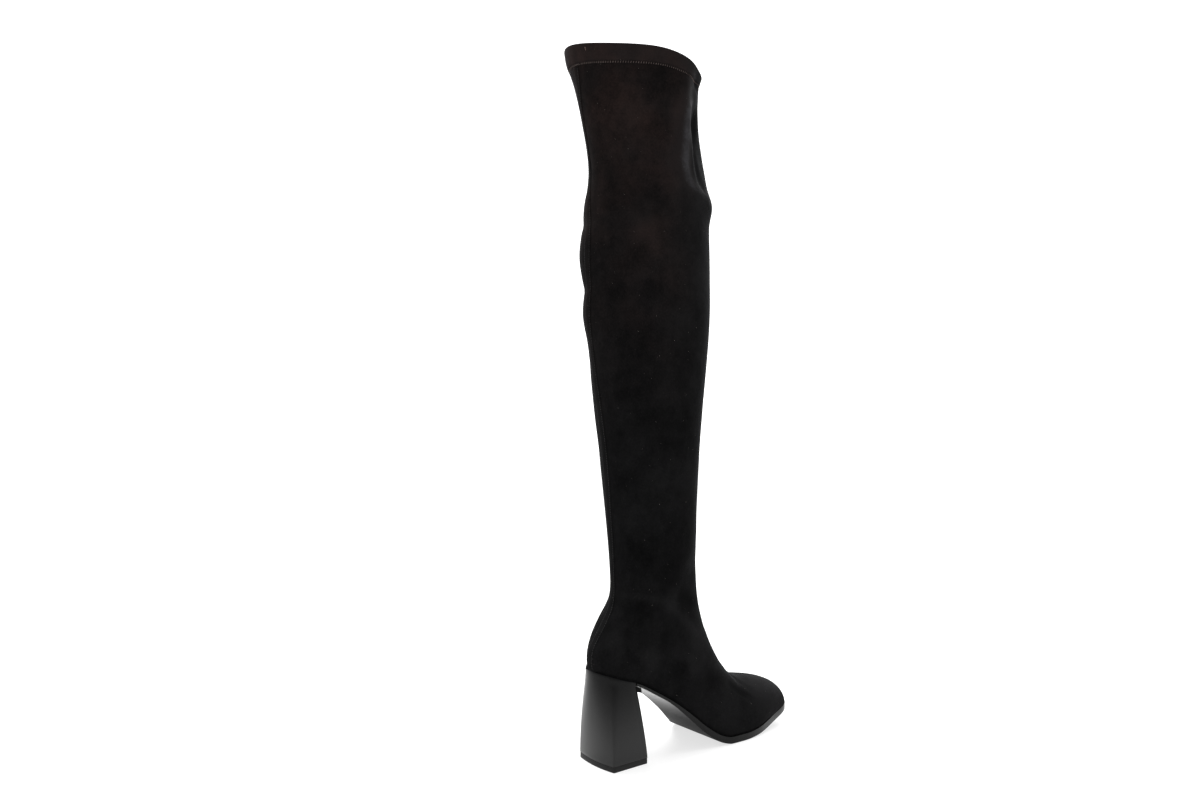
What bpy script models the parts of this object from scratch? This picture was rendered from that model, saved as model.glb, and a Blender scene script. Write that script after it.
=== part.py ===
"""Right-foot over-the-knee boot in stretch suede on a flared block heel, standing on its sole.

Frame: +X to the toe, +Y to the inner side (the wearer's left), +Z up, origin on the floor in the heel's
tread. The tables are in millimetres and the meshes in metres.
"""

import math

import bmesh
import bpy
import numpy as np

MM = 0.001
GAP = 0.3  # clearance between pieces that meet
MERGE_DISTANCE = 0.01
SHORTEST_EDGE = 0.001
SHARP_EDGE = 40  # degrees past which an edge is shaded sharp

# Shell of the upper.
WALL = 1.6
HEM_WALL = 2.8  # the collar hem is folded over
HEM_STEP = 0.6  # how far the hem stands out from the shaft
HEM_RISE = 1.2  # height of the step's slope
ARCH_COLUMNS = 32
ARCH_SAMPLES = 64  # points each side from which the even columns are spaced
FOOT_ROW_PITCH = 14.0
CALF_ROW_PITCH = 30.0
KNEE_ROW_PITCH = 16.0

# Ends of the sole's outline.
TOE_TIP_X = 209.0
TOE_END = 24.0
TOE_SQUARENESS = 4.4
TOE_STEPS = 7
HEEL_BACK_X = -25.0
HEEL_END = 28.0
HEEL_ROUNDNESS = 2.0
HEEL_STEPS = 7
WAIST_STEPS = 22

# Sole and insole.
SOLE_EXTENSION = 0.8  # how far the sole's edge stands out from the upper
SOLE_CHAMFER = 1.0
INSOLE_THICKNESS = 2.5
INSOLE_CLEARANCE = 1.4

# Heel block, its lip under the arch and its lift.
LIFT_HEIGHT = 5.0
LIFT_INSET = 0.2
TREAD_FRONT_X = 20.8
TREAD_BACK_X = -21.8
TREAD_WIDTH = 52.0
TREAD_BULGE = 3.3  # how far the back of the tread curves out
BREAST_X = 7.0  # front of the heel at the seat
BREAST_FLARE = 1.25
BACK_FLARE = 2.5
HEEL_LEVELS = 7
SIDE_STEPS = 6
BACK_STEPS = 8
LIP_LENGTH = 6.0
LIP_DEPTH = 5.0
LIP_FOOT = 5.5  # depth at which the lip has run back to the breast
PLAIN_DEPTH = 10.0  # depth from which the breast is plain

# Strip over the back seam.
STRIP_WIDTH = 10.0
STRIP_THICKNESS = 0.8
STRIP_STEPS = 4
STRIP_GAP = 0.5  # the strip winds across the faces of the upper
# How far the strip's middle is to the inner side of the back, by height.
STRIP_COLUMNS = ("height", "drift")
STRIP_ROWS = (
    (85, 0),
    (120, 4.5),
    (330, 7),
    (400, 16),
    (475, 14.5),
    (600, 20),
    (645, 8),
)

# Bottom of the last: half-widths each side of the heel's axis, height of the sole's underside and thickness
# of the sole. The feather edge, where the upper meets the sole and the heel, is on top of it.
LAST_COLUMNS = ("x", "outer", "inner", "underside", "sole")
LAST_ROWS = (
    (-25, 26.5, 26.5, 84.2, 3.0),
    (-7, 26.5, 26.5, 78.2, 3.0),
    (11, 26.5, 26.0, 72.0, 3.0),
    (30, 27.5, 22.0, 61.4, 3.2),
    (50, 28.5, 18.0, 48.8, 3.6),
    (70, 30.0, 17.5, 31.8, 6.0),
    (90, 33.4, 24.0, 13.8, 7.2),
    (106, 36.4, 36.0, 3.6, 7.0),
    (118, 38.2, 40.0, 0.0, 7.0),
    (142, 39.2, 40.5, 0.0, 7.0),
    (160, 37.2, 38.0, 1.4, 7.2),
    (174, 34.0, 34.5, 3.8, 7.5),
    (185, 32.0, 32.5, 7.0, 7.7),
    (209, 32.0, 32.5, 16.8, 7.4),
)

# Sections of the last, fanned from the toe to the collar. Each runs from a base on the feather edge, or on
# the back of the shaft where base_z is given, to a top on the ridge or the front of the shaft.
SECTION_COLUMNS = ("base_x", "base_z", "top_x", "top_z", "outer", "inner", "widest", "roundness")
SECTION_ROWS = (
    (185, None, 209, None, 32.0, 32.5, 0.00, 4.4),
    (182, None, 211, 28, 33.0, 33.6, 0.10, 3.4),
    (177, None, 208.5, 35.5, 34.2, 34.8, 0.16, 2.8),
    (170, None, 201, 42, 35.6, 36.4, 0.20, 2.5),
    (160, None, 188, 46.5, 37.8, 39.0, 0.22, 2.4),
    (148, None, 172, 50, 39.4, 41.4, 0.22, 2.3),
    (134, None, 156, 53.5, 39.8, 41.8, 0.22, 2.2),
    (118, None, 141, 61.5, 38.8, 40.8, 0.22, 2.1),
    (101, None, 128, 76, 36.6, 37.6, 0.24, 2.0),
    (82, None, 119, 90.5, 34.2, 33.0, 0.28, 2.0),
    (62, None, 112.3, 103.5, 32.8, 30.2, 0.32, 2.0),
    (42, None, 107, 115.5, 32.2, 30.0, 0.36, 2.0),
    (22, None, 103.2, 126, 32.2, 30.6, 0.40, 2.0),
    (4, None, 100.5, 136, 32.2, 31.2, 0.42, 2.0),
    (-8, None, 99.2, 143, 32.2, 31.4, 0.43, 2.0),
    (-16, None, 98.3, 149, 32.2, 31.5, 0.44, 2.0),
    (-21.5, None, 97.7, 155, 32.2, 31.6, 0.45, 2.0),
    (-24.2, None, 97.2, 160.5, 32.2, 31.7, 0.46, 2.0),
    (-25, None, 97, 166, 32.2, 31.8, 0.46, 2.0),
    (-26, 96, 96.7, 172.5, 32.2, 32.0, 0.46, 2.0),
    (-23.4, 106, 96.4, 180, 32.4, 32.2, 0.46, 2.0),
    (-15.5, 117, 96.2, 187.5, 32.6, 32.4, 0.47, 2.0),
    (-6, 128, 96.1, 195, 32.8, 32.6, 0.48, 2.0),
    (1.5, 139, 96, 203, 33.2, 33.0, 0.49, 2.0),
    (5, 152, 96, 212, 33.8, 33.6, 0.50, 2.0),
    (5.5, 170, 96, 224, 35.0, 35.0, 0.50, 2.0),
    (4, 196, 96, 242, 37.0, 37.0, 0.50, 2.0),
    (0.5, 230, 96.5, 268, 39.8, 39.8, 0.50, 2.0),
    (-4.5, 275, 97.6, 304, 43.6, 43.6, 0.50, 2.0),
    (-11.5, 335, 100.6, 350, 49.0, 49.0, 0.50, 2.0),
    (-15, 390, 105, 400, 52.0, 52.0, 0.50, 2.0),
    (-15, 440, 105.8, 446, 52.4, 52.4, 0.50, 2.0),
    (-15, 490, 105, 492, 52.2, 52.2, 0.50, 2.0),
    (-15, 540, 102.5, 538, 50.6, 50.6, 0.50, 2.0),
    (-18.8, 572, 97.4, 568, 50.0, 50.0, 0.50, 2.0),
    (-27, 607, 92, 599, 52.0, 52.0, 0.50, 2.0),
    (-35.5, 639, 91.5, 627, 57.0, 57.0, 0.50, 2.0),
    (-40.5, 657.5, 93, 645.5, 60.5, 60.5, 0.50, 2.0),
)
HEEL_SECTION = 18  # the first section that closes at the back
ANKLE_SECTION = 25
KNEE_SECTION = 30
HEM_SECTION = 36  # lower edge of the collar hem
COLLAR_SECTION = len(SECTION_ROWS) - 1
COLLAR_TILT = 0.11  # rise of the collar to the inner side, for each unit across
COLLAR_WAVES = 3  # rises and falls of the slack rim in a turn
COLLAR_WAVE = 2.3
COLLAR_WAVE_CREST = 93  # degrees from the front to the outer side
HEM_DRAWN = 1.5  # sections below the hem that are drawn up with its lower edge
# How far the hem's lower edge is drawn up, by degrees from the front.
HEM_LIFT_COLUMNS = ("around", "rise", "half_angle")
HEM_LIFT_ROWS = (
    (28, 9.0, 30),
    (85, 2.2, 45),
)
HEM_LIFTS = [dict(zip(HEM_LIFT_COLUMNS, row)) for row in HEM_LIFT_ROWS]

# Soft folds of the empty shaft: place by height and by degrees from the front, positive to the outer side.
FOLD_COLUMNS = ("height", "around", "out", "half_height", "half_angle")
FOLD_ROWS = (
    (474, -140, 8.8, 34, 32),
    (416, -140, 4.4, 20, 30),
    (520, -140, 4.0, 20, 30),
    (520, 36, 4.2, 13, 24),
    (596, 52, -5.0, 45, 15),
    (590, 76, 2.0, 50, 13),
)
FOLDS = [dict(zip(FOLD_COLUMNS, row)) for row in FOLD_ROWS]

SUEDE = ("black_suede", (0.012, 0.011, 0.011), 0.95)
SUEDE_STRIP = ("black_suede_strip", (0.010, 0.009, 0.009), 0.95)
SOCK = ("black_sock", (0.02, 0.02, 0.02), 0.9)
SOLE = ("black_sole", (0.03, 0.03, 0.032), 0.45)
LACQUER = ("black_lacquer", (0.025, 0.025, 0.026), 0.35)
RUBBER = ("black_rubber", (0.02, 0.02, 0.02), 0.8)


def smooth_curve(stations, values):
    """A function of the station that runs through the values without kinks."""
    xs = np.array(stations, float)
    ys = np.array(values, float)
    slopes = np.gradient(ys, xs)

    def at(station):
        i = int(np.clip(np.searchsorted(xs, station) - 1, 0, len(xs) - 2))
        step = xs[i + 1] - xs[i]
        t = min(max((station - xs[i]) / step, 0.0), 1.0)
        rise = t * t * (3 - 2 * t)
        start = t * (1 - t) ** 2 * step * slopes[i]
        end = t * t * (1 - t) * step * slopes[i + 1]
        return float(ys[i] + (ys[i + 1] - ys[i]) * rise + start - end)

    return at


def curves_of(columns, rows):
    """One smooth curve for each named column after the first, over the first column."""
    stations = [row[0] for row in rows]
    return {name: smooth_curve(stations, [row[i] for row in rows]) for i, name in enumerate(columns) if i}


LAST = curves_of(LAST_COLUMNS, LAST_ROWS)
STRIP = curves_of(STRIP_COLUMNS, STRIP_ROWS)


def sole_underside(x):
    """Height of the sole's underside at x, never below the floor."""
    return max(0.0, LAST["underside"](x))


def feather_height(x):
    """Height of the sole's top at x."""
    return sole_underside(x) + LAST["sole"](x)


def under_sole(x):
    """Height of what carries the sole at x."""
    return sole_underside(x) - GAP


def end_share(x):
    """Share of the half-width that the rounded heel end and the squared toe end leave at x."""
    toe = min(max((x - (TOE_TIP_X - TOE_END)) / TOE_END, 0.0), 1.0)
    heel = min(max((HEEL_BACK_X + HEEL_END - x) / HEEL_END, 0.0), 1.0)
    toe_share = (1 - toe**TOE_SQUARENESS) ** (1 / TOE_SQUARENESS)
    heel_share = (1 - heel**HEEL_ROUNDNESS) ** (1 / HEEL_ROUNDNESS)
    return toe_share * heel_share


def feather_half_width(x, side):
    """Half-width of the feather edge at x; side is outer or inner."""
    return LAST[side](x) * end_share(x)


def filled_sections():
    """The section rows, numbered, with the heights on the feather edge filled in."""
    rows = []
    for base_x, base_z, top_x, top_z, *shape in SECTION_ROWS:
        low = feather_height(base_x) + GAP if base_z is None else base_z
        high = feather_height(top_x) + GAP if top_z is None else top_z
        rows.append((len(rows), base_x, low, top_x, high, *shape))
    return rows


SECTION = curves_of(("row",) + SECTION_COLUMNS, filled_sections())


def section_base(u):
    """Lowest point of the section at row u: on the feather's centre line, or on the back of the shaft."""
    x = SECTION["base_x"](u)
    z = feather_height(x) + GAP if u < HEEL_SECTION else SECTION["base_z"](u)
    return np.array((x, 0.0, z))


def section_top(u):
    """Point of the section at row u on the ridge or the front of the shaft."""
    return np.array((SECTION["top_x"](u), 0.0, SECTION["top_z"](u)))


def half_arch(u, side):
    """One side of the section at row u, from its base to its top: shares of the height and offsets across."""
    widest = SECTION["widest"](u)
    power = 2 / SECTION["roundness"](u)
    half = SECTION[side](u)
    foot = feather_half_width(SECTION["base_x"](u), side) if u < HEEL_SECTION else 0.0
    start = math.acos(min(1.0, (foot / half) ** (1 / power)))
    drop = widest / math.sin(start) ** power if start > 0 else 0.0
    points = []
    for angle in np.linspace(-start, math.pi / 2, ARCH_SAMPLES):
        rise = abs(math.sin(angle)) ** power
        up = widest - drop * rise if angle < 0 else widest + (1 - widest) * rise
        points.append((up, half * max(math.cos(angle), 0.0) ** power))
    return points


def degrees_round(u, point):
    """Degrees round the leg from the front, positive to the outer side."""
    middle = (section_base(u) + section_top(u)) / 2
    return math.degrees(math.atan2(-point[1], point[0] - middle[0]))


def collar_rise(u, point):
    """Rise of a point by the collar's tilt and wave: none up to the knee, full at the collar."""
    share = max(0.0, (u - KNEE_SECTION) / (COLLAR_SECTION - KNEE_SECTION)) ** 2
    wave = math.cos(math.radians(COLLAR_WAVES * (degrees_round(u, point) - COLLAR_WAVE_CREST)))
    return share * (COLLAR_TILT * point[1] + COLLAR_WAVE * wave) + hem_lift(u, degrees_round(u, point))


def hem_lift(u, degrees):
    """Rise of a point near the hem's lower edge: none at the collar and further down the shaft."""
    below = min(max((u - HEM_SECTION) / HEM_DRAWN + 1, 0.0), 1.0)
    share = below * below * (3 - 2 * below) * (1 - max(0.0, u - HEM_SECTION))
    total = 0.0
    for lift in HEM_LIFTS:
        turn = (degrees - lift["around"] + 180) % 360 - 180
        total += lift["rise"] * math.exp(-((turn / lift["half_angle"]) ** 2))
    return share * total


def section_points(u):
    """Points round the section at row u, evenly spaced on each side: outer base, over the top, inner base."""
    base = section_base(u)
    rise = section_top(u) - base
    sides = []
    for side, sign in (("outer", -1), ("inner", 1)):
        path = np.array([base + up * rise + (0, sign * across, 0) for up, across in half_arch(u, side)])
        length = np.concatenate(([0], np.cumsum(np.linalg.norm(np.diff(path, axis=0), axis=1))))
        even = np.linspace(0, length[-1], ARCH_COLUMNS // 2 + 1)
        sides.append(np.stack([np.interp(even, length, path[:, axis]) for axis in range(3)], axis=1))
    outer, inner = sides
    points = np.concatenate((outer, inner[-2::-1]))
    points[:, 2] += [collar_rise(u, point) for point in points]
    return points


def outward(u, points):
    """Unit directions in the section's plane that point away from the leg."""
    along = np.gradient(points, axis=0)
    if u >= HEEL_SECTION:
        along[0] = along[-1] = points[1] - points[-2]
    across_plane = np.cross(section_top(u) - section_base(u), (0.0, 1.0, 0.0))
    out = np.cross(along, across_plane)
    return out / np.linalg.norm(out, axis=1)[:, None]


def fold_offset(u, point):
    """How far the soft folds push a point of the shaft outwards."""
    degrees = degrees_round(u, point)
    total = 0.0
    for fold in FOLDS:
        turn = (degrees - fold["around"] + 180) % 360 - 180
        away = ((point[2] - fold["height"]) / fold["half_height"]) ** 2 + (turn / fold["half_angle"]) ** 2
        total += fold["out"] * math.exp(-away)
    return total


def hem_rise_rows():
    """Rows that the slope of the hem's step takes up."""
    return HEM_RISE / (SECTION["base_z"](COLLAR_SECTION) - SECTION["base_z"](HEM_SECTION))


def hem_share(u):
    """0 below the collar hem, 1 on it."""
    return min(max((u - HEM_SECTION) / hem_rise_rows(), 0.0), 1.0)


def upper_points(u):
    """Points of the upper's outer face at row u, with the outward directions there."""
    points = section_points(u)
    out = outward(u, points)
    offset = np.full(len(points), HEM_STEP * hem_share(u))
    if u > HEEL_SECTION:
        offset += [fold_offset(u, point) for point in points]
    return points + out * offset[:, None], out


def row_numbers(first, last):
    """Mesh rows from one section to another, closer together where the foot curves."""
    rows = [float(first)]
    for section in range(first, last):
        travel = max(
            np.linalg.norm(section_base(section + 1) - section_base(section)),
            np.linalg.norm(section_top(section + 1) - section_top(section)),
        )
        calf_pitch = CALF_ROW_PITCH if section < KNEE_SECTION else KNEE_ROW_PITCH
        pitch = FOOT_ROW_PITCH if section < ANKLE_SECTION else calf_pitch
        steps = math.ceil(travel / pitch)
        rows += [section + (step + 1) / steps for step in range(steps)]
    return rows


def material_of(finish):
    """A Principled material with the finish's colour and roughness."""
    name, colour, roughness = finish
    material = bpy.data.materials.new(name)
    material.use_nodes = True
    shader = material.node_tree.nodes["Principled BSDF"]
    shader.inputs["Base Color"].default_value = (*colour, 1.0)
    shader.inputs["Roughness"].default_value = roughness
    shader.inputs["Metallic"].default_value = 0.0
    return material


def object_of(name, bm, finish):
    """A named, smooth-shaded object from a bmesh in millimetres."""
    bmesh.ops.scale(bm, vec=(MM, MM, MM), verts=bm.verts)
    mesh = bpy.data.meshes.new(name)
    bm.to_mesh(mesh)
    bm.free()
    mesh.shade_smooth()
    mesh.set_sharp_from_angle(angle=math.radians(SHARP_EDGE))
    mesh.materials.append(material_of(finish))
    made = bpy.data.objects.new(name, mesh)
    bpy.context.scene.collection.objects.link(made)
    return made


def grid_of(rows, weights=None):
    """A bmesh sheet whose rows of vertices are the given points, with a weight for each row if given."""
    bm = bmesh.new()
    group = bm.verts.layers.deform.verify()
    across = len(rows[0])
    made = bmesh.ops.create_grid(bm, x_segments=across - 1, y_segments=len(rows) - 1, size=1)
    ordered = sorted(made["verts"], key=lambda vertex: (round(vertex.co.y, 6), vertex.co.x))
    for i, vertex in enumerate(ordered):
        vertex.co = rows[i // across][i % across]
        if weights:
            vertex[group][0] = weights[i // across]
    return bm


def loft_of(rings):
    """A closed bmesh through rings of points whose first and last are drawn together to a line."""
    bm = grid_of([[*ring, ring[0]] for ring in rings])
    bmesh.ops.remove_doubles(bm, verts=bm.verts, dist=MERGE_DISTANCE)
    bmesh.ops.dissolve_degenerate(bm, edges=bm.edges, dist=SHORTEST_EDGE)
    bmesh.ops.recalc_face_normals(bm, faces=bm.faces)
    return bm


def build_upper():
    """The shell of vamp and shaft, open underneath and at the collar, with a thicker hem."""
    rows = [*row_numbers(0, HEM_SECTION), HEM_SECTION + hem_rise_rows(), COLLAR_SECTION]
    weights = [(WALL + hem_share(u) * (HEM_WALL - WALL)) / HEM_WALL for u in rows]
    bm = grid_of([upper_points(u)[0] for u in rows], weights)
    bmesh.ops.remove_doubles(bm, verts=bm.verts, dist=MERGE_DISTANCE)
    upper = object_of("upper", bm, SUEDE)
    upper.vertex_groups.new(name="wall")
    wall = upper.modifiers.new("wall", "SOLIDIFY")
    wall.thickness = HEM_WALL * MM
    wall.offset = -1
    wall.vertex_group = "wall"
    return upper


def build_back_strip():
    """The strip over the back seam, from the heel seat to the collar hem, following the upper's face."""
    rows = []
    offsets = np.linspace(-STRIP_WIDTH / 2, STRIP_WIDTH / 2, STRIP_STEPS + 1)
    for u in row_numbers(HEEL_SECTION, HEM_SECTION)[:-1]:
        points, out = upper_points(u)
        face = points + out * STRIP_GAP
        loop = np.concatenate((face[ARCH_COLUMNS // 2 : -1], face[: ARCH_COLUMNS // 2]))
        length = np.concatenate(([0], np.cumsum(np.linalg.norm(np.diff(loop, axis=0), axis=1))))
        middle = length[ARCH_COLUMNS // 2] - STRIP["drift"](section_base(u)[2])
        row = [np.interp(middle + offsets, length, loop[:, axis]) for axis in range(3)]
        rows.append(np.stack(row, axis=1))
    bm = grid_of(rows)
    strip = object_of("back_strip", bm, SUEDE_STRIP)
    wall = strip.modifiers.new("wall", "SOLIDIFY")
    wall.thickness = STRIP_THICKNESS * MM
    wall.offset = 1
    return strip


def outline_stations():
    """Stations from the heel's back to the toe's tip, closer together round the two ends."""
    quarter = np.linspace(0, math.pi / 2, HEEL_STEPS + 1)
    heel = [HEEL_BACK_X + HEEL_END * (1 - math.cos(angle)) for angle in quarter]
    waist = np.linspace(HEEL_BACK_X + HEEL_END, TOE_TIP_X - TOE_END, WAIST_STEPS + 1)
    power = 2 / TOE_SQUARENESS
    quarter = np.linspace(0, math.pi / 2, TOE_STEPS + 1)
    toe = [TOE_TIP_X - TOE_END * (1 - math.sin(angle) ** power) for angle in quarter]
    return [*heel, *waist[1:], *toe[1:]]


def outline_points(side, stations, inset):
    """Points of the feather outline's outer or inner side in plan, moved inwards by inset."""
    sign = {"outer": -1, "inner": 1}[side]
    path = np.array([(x, sign * feather_half_width(x, side)) for x in stations])
    along = np.gradient(path, axis=0)
    along[0] = (0, sign) if stations[0] <= HEEL_BACK_X else (1, 0)
    along[-1] = (0, -sign)
    inwards = sign * np.stack((along[:, 1], -along[:, 0]), axis=1)
    return path + inset * inwards / np.linalg.norm(inwards, axis=1)[:, None]


def slab_of(levels, back):
    """A closed bmesh with the sole's outline from back to toe; a level is an inset and a height function."""
    stations = [back, *(x for x in outline_stations() if x > back)]
    sides = {}
    for side in ("outer", "inner"):
        plans = [outline_points(side, stations, inset) for inset, _ in levels]
        sides[side] = [[(x, y, height(x)) for x, y in plan] for plan, (_, height) in zip(plans, levels)]
    rings = []
    for i in range(len(stations)):
        outer = [level[i] for level in sides["outer"]]
        inner = [level[i] for level in sides["inner"]]
        rings.append(outer + inner[::-1])
    end = [(x, 0.0, z) for x, _, z in rings[0]]
    return loft_of([end, *rings])


def build_outsole():
    """The sole from the heel's breast to the toe, with a thick ball, toe spring and a chamfered edge."""
    edge = -SOLE_EXTENSION
    levels = (
        (edge + SOLE_CHAMFER, sole_underside),
        (edge, lambda x: sole_underside(x) + SOLE_CHAMFER),
        (edge, feather_height),
    )
    return object_of("outsole", slab_of(levels, BREAST_X + GAP), SOLE)


def build_insole():
    """The sock board inside the upper, on the sole."""
    inset = WALL + INSOLE_CLEARANCE
    levels = (
        (inset, lambda x: feather_height(x) + GAP),
        (inset, lambda x: feather_height(x) + GAP + INSOLE_THICKNESS),
    )
    return object_of("insole", slab_of(levels, HEEL_BACK_X), SOCK)


def tread_outline(inset):
    """Half of the heel's tread in plan, from the breast's corner to the middle of the curved back."""
    front = TREAD_FRONT_X - inset
    corner = TREAD_BACK_X + TREAD_BULGE + inset
    half = TREAD_WIDTH / 2 - inset
    radius = (half**2 + TREAD_BULGE**2) / (2 * TREAD_BULGE)
    sweep = math.asin(half / radius)
    side = [(x, half) for x in np.linspace(front, corner, SIDE_STEPS + 1)]
    centre = corner - TREAD_BULGE + radius
    turns = np.linspace(sweep, 0, BACK_STEPS + 1)
    back = [(centre - radius * math.cos(turn), radius * math.sin(turn)) for turn in turns]
    return np.array(side + back[1:])


def seat_outline(side):
    """Half of the heel's top in plan, under the feather edge."""
    steps = SIDE_STEPS + BACK_STEPS
    quarter = np.linspace(0, math.pi / 2, steps + 1)
    stations = [BREAST_X - (BREAST_X - HEEL_BACK_X) * math.sin(angle) for angle in quarter]
    return np.array([(x, feather_half_width(x, side)) for x in stations])


def heel_rings(levels):
    """Rings up the heel from front to back.

    A level is a share of the way down, how far the breast stands forward there, and the function for the
    height that it goes down from.
    """
    tread = tread_outline(0.0)
    rings = []
    for station in range(-1, len(tread)):
        ring = []
        for side, sign, order in (("outer", -1, levels), ("inner", 1, levels[::-1])):
            seat = seat_outline(side)
            for down, forward, top_height in order:
                place = max(station, 0)
                flare = BREAST_FLARE + (BACK_FLARE - BREAST_FLARE) * place / (len(tread) - 1)
                spread = 1 - (1 - down) ** flare
                top_x, top_y = seat[place]
                if station <= 0:
                    top_x += forward
                x = top_x + (tread[place][0] - top_x) * spread
                y = (top_y + (tread[place][1] - top_y) * spread) * (0 if station < 0 else sign)
                top_z = top_height(top_x)
                ring.append((x, y, top_z + (LIFT_HEIGHT + GAP - top_z) * down))
        rings.append(ring)
    return rings


def build_heel_block():
    """The block heel: round at the seat, flat-sided with a curved back at the tread, with a lip in front.

    The seat reaches up to the upper behind the end of the sole, and the lip carries the sole's end.
    """
    height = sole_underside(BREAST_X)
    plain = [(down, 0.0, under_sole) for down in np.linspace(1, PLAIN_DEPTH / height, HEEL_LEVELS)]
    lip = [(LIP_FOOT / height, 0.0, under_sole), (LIP_DEPTH / height, LIP_LENGTH, under_sole)]
    seat = [(0.0, LIP_LENGTH, under_sole), (0.0, 0.0, under_sole), (0.0, 0.0, feather_height)]
    return object_of("heel_block", loft_of(heel_rings([*plain, *lip, *seat])), LACQUER)


def build_heel_lift():
    """The wear piece under the heel block."""
    half = tread_outline(LIFT_INSET)
    rings = []
    for station in range(-1, len(half)):
        x, y = half[max(station, 0)]
        reach = 0.0 if station < 0 else y
        rings.append([(x, -reach, 0.0), (x, -reach, LIFT_HEIGHT), (x, reach, LIFT_HEIGHT), (x, reach, 0.0)])
    return object_of("heel_lift", loft_of(rings), RUBBER)


def main():
    for old in list(bpy.data.objects):
        bpy.data.objects.remove(old)
    build_upper()
    build_back_strip()
    build_insole()
    build_outsole()
    build_heel_block()
    build_heel_lift()


main()
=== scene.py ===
"""Looks of a right over-the-knee boot in black suede on a flared block heel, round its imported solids.

Frame: +X to the toe, +Y to the inner side of the foot, +Z up. Tables and sizes are in millimetres and the
finished meshes in metres.
"""

import logging
import math
from dataclasses import dataclass, field
from enum import Enum
from typing import Callable, Sequence

import bmesh
import bpy
import numpy as np
from mathutils import Matrix, Vector, noise


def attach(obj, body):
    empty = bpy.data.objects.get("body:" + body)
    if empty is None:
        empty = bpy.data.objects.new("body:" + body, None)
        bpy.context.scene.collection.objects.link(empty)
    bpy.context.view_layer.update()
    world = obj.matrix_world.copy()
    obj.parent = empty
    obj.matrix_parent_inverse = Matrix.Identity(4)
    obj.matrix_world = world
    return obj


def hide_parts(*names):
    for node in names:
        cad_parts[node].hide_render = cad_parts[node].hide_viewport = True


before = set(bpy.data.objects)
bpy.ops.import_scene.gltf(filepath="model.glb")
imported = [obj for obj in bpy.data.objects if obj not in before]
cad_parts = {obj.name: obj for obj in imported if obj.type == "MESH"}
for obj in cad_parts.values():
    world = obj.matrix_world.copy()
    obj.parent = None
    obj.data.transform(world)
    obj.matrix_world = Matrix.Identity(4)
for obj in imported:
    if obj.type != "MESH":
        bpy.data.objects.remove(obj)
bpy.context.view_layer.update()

LOG = logging.getLogger("boot")
MM = 0.001
ROOT = "root"
SHARP_EDGE = 45.0  # degrees past which an edge is shaded sharp
MERGE_DISTANCE = 0.01
NAP_AND_LIGHT_LAYER = "nap"  # vertex values that lighten or darken the suede: how its nap lies, and painted highlights and shade

Triple = tuple[float, float, float]
Colour = Triple
HeightCurve = Callable[[np.ndarray], np.ndarray]

# Bottom of the last: half-widths each side of the heel's axis, height of the sole's underside and thickness
# of the sole.
LAST_COLUMNS = ("x", "outer", "inner", "underside", "sole")
LAST_ROWS = (
    (-25, 26.5, 26.5, 84.2, 3.0),
    (-7, 26.5, 26.5, 78.2, 3.0),
    (11, 26.5, 26.0, 72.0, 3.0),
    (30, 27.5, 22.0, 61.4, 3.2),
    (50, 28.5, 18.0, 48.8, 3.6),
    (70, 30.0, 17.5, 31.8, 6.0),
    (90, 33.4, 24.0, 13.8, 7.2),
    (106, 36.4, 36.0, 3.6, 7.0),
    (118, 38.2, 40.0, 0.0, 7.0),
    (142, 39.2, 40.5, 0.0, 7.0),
    (160, 37.2, 38.0, 1.4, 7.2),
    (174, 34.0, 34.5, 3.8, 7.5),
    (185, 32.0, 32.5, 7.0, 7.7),
    (209, 32.0, 32.5, 16.8, 7.4),
)

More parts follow.
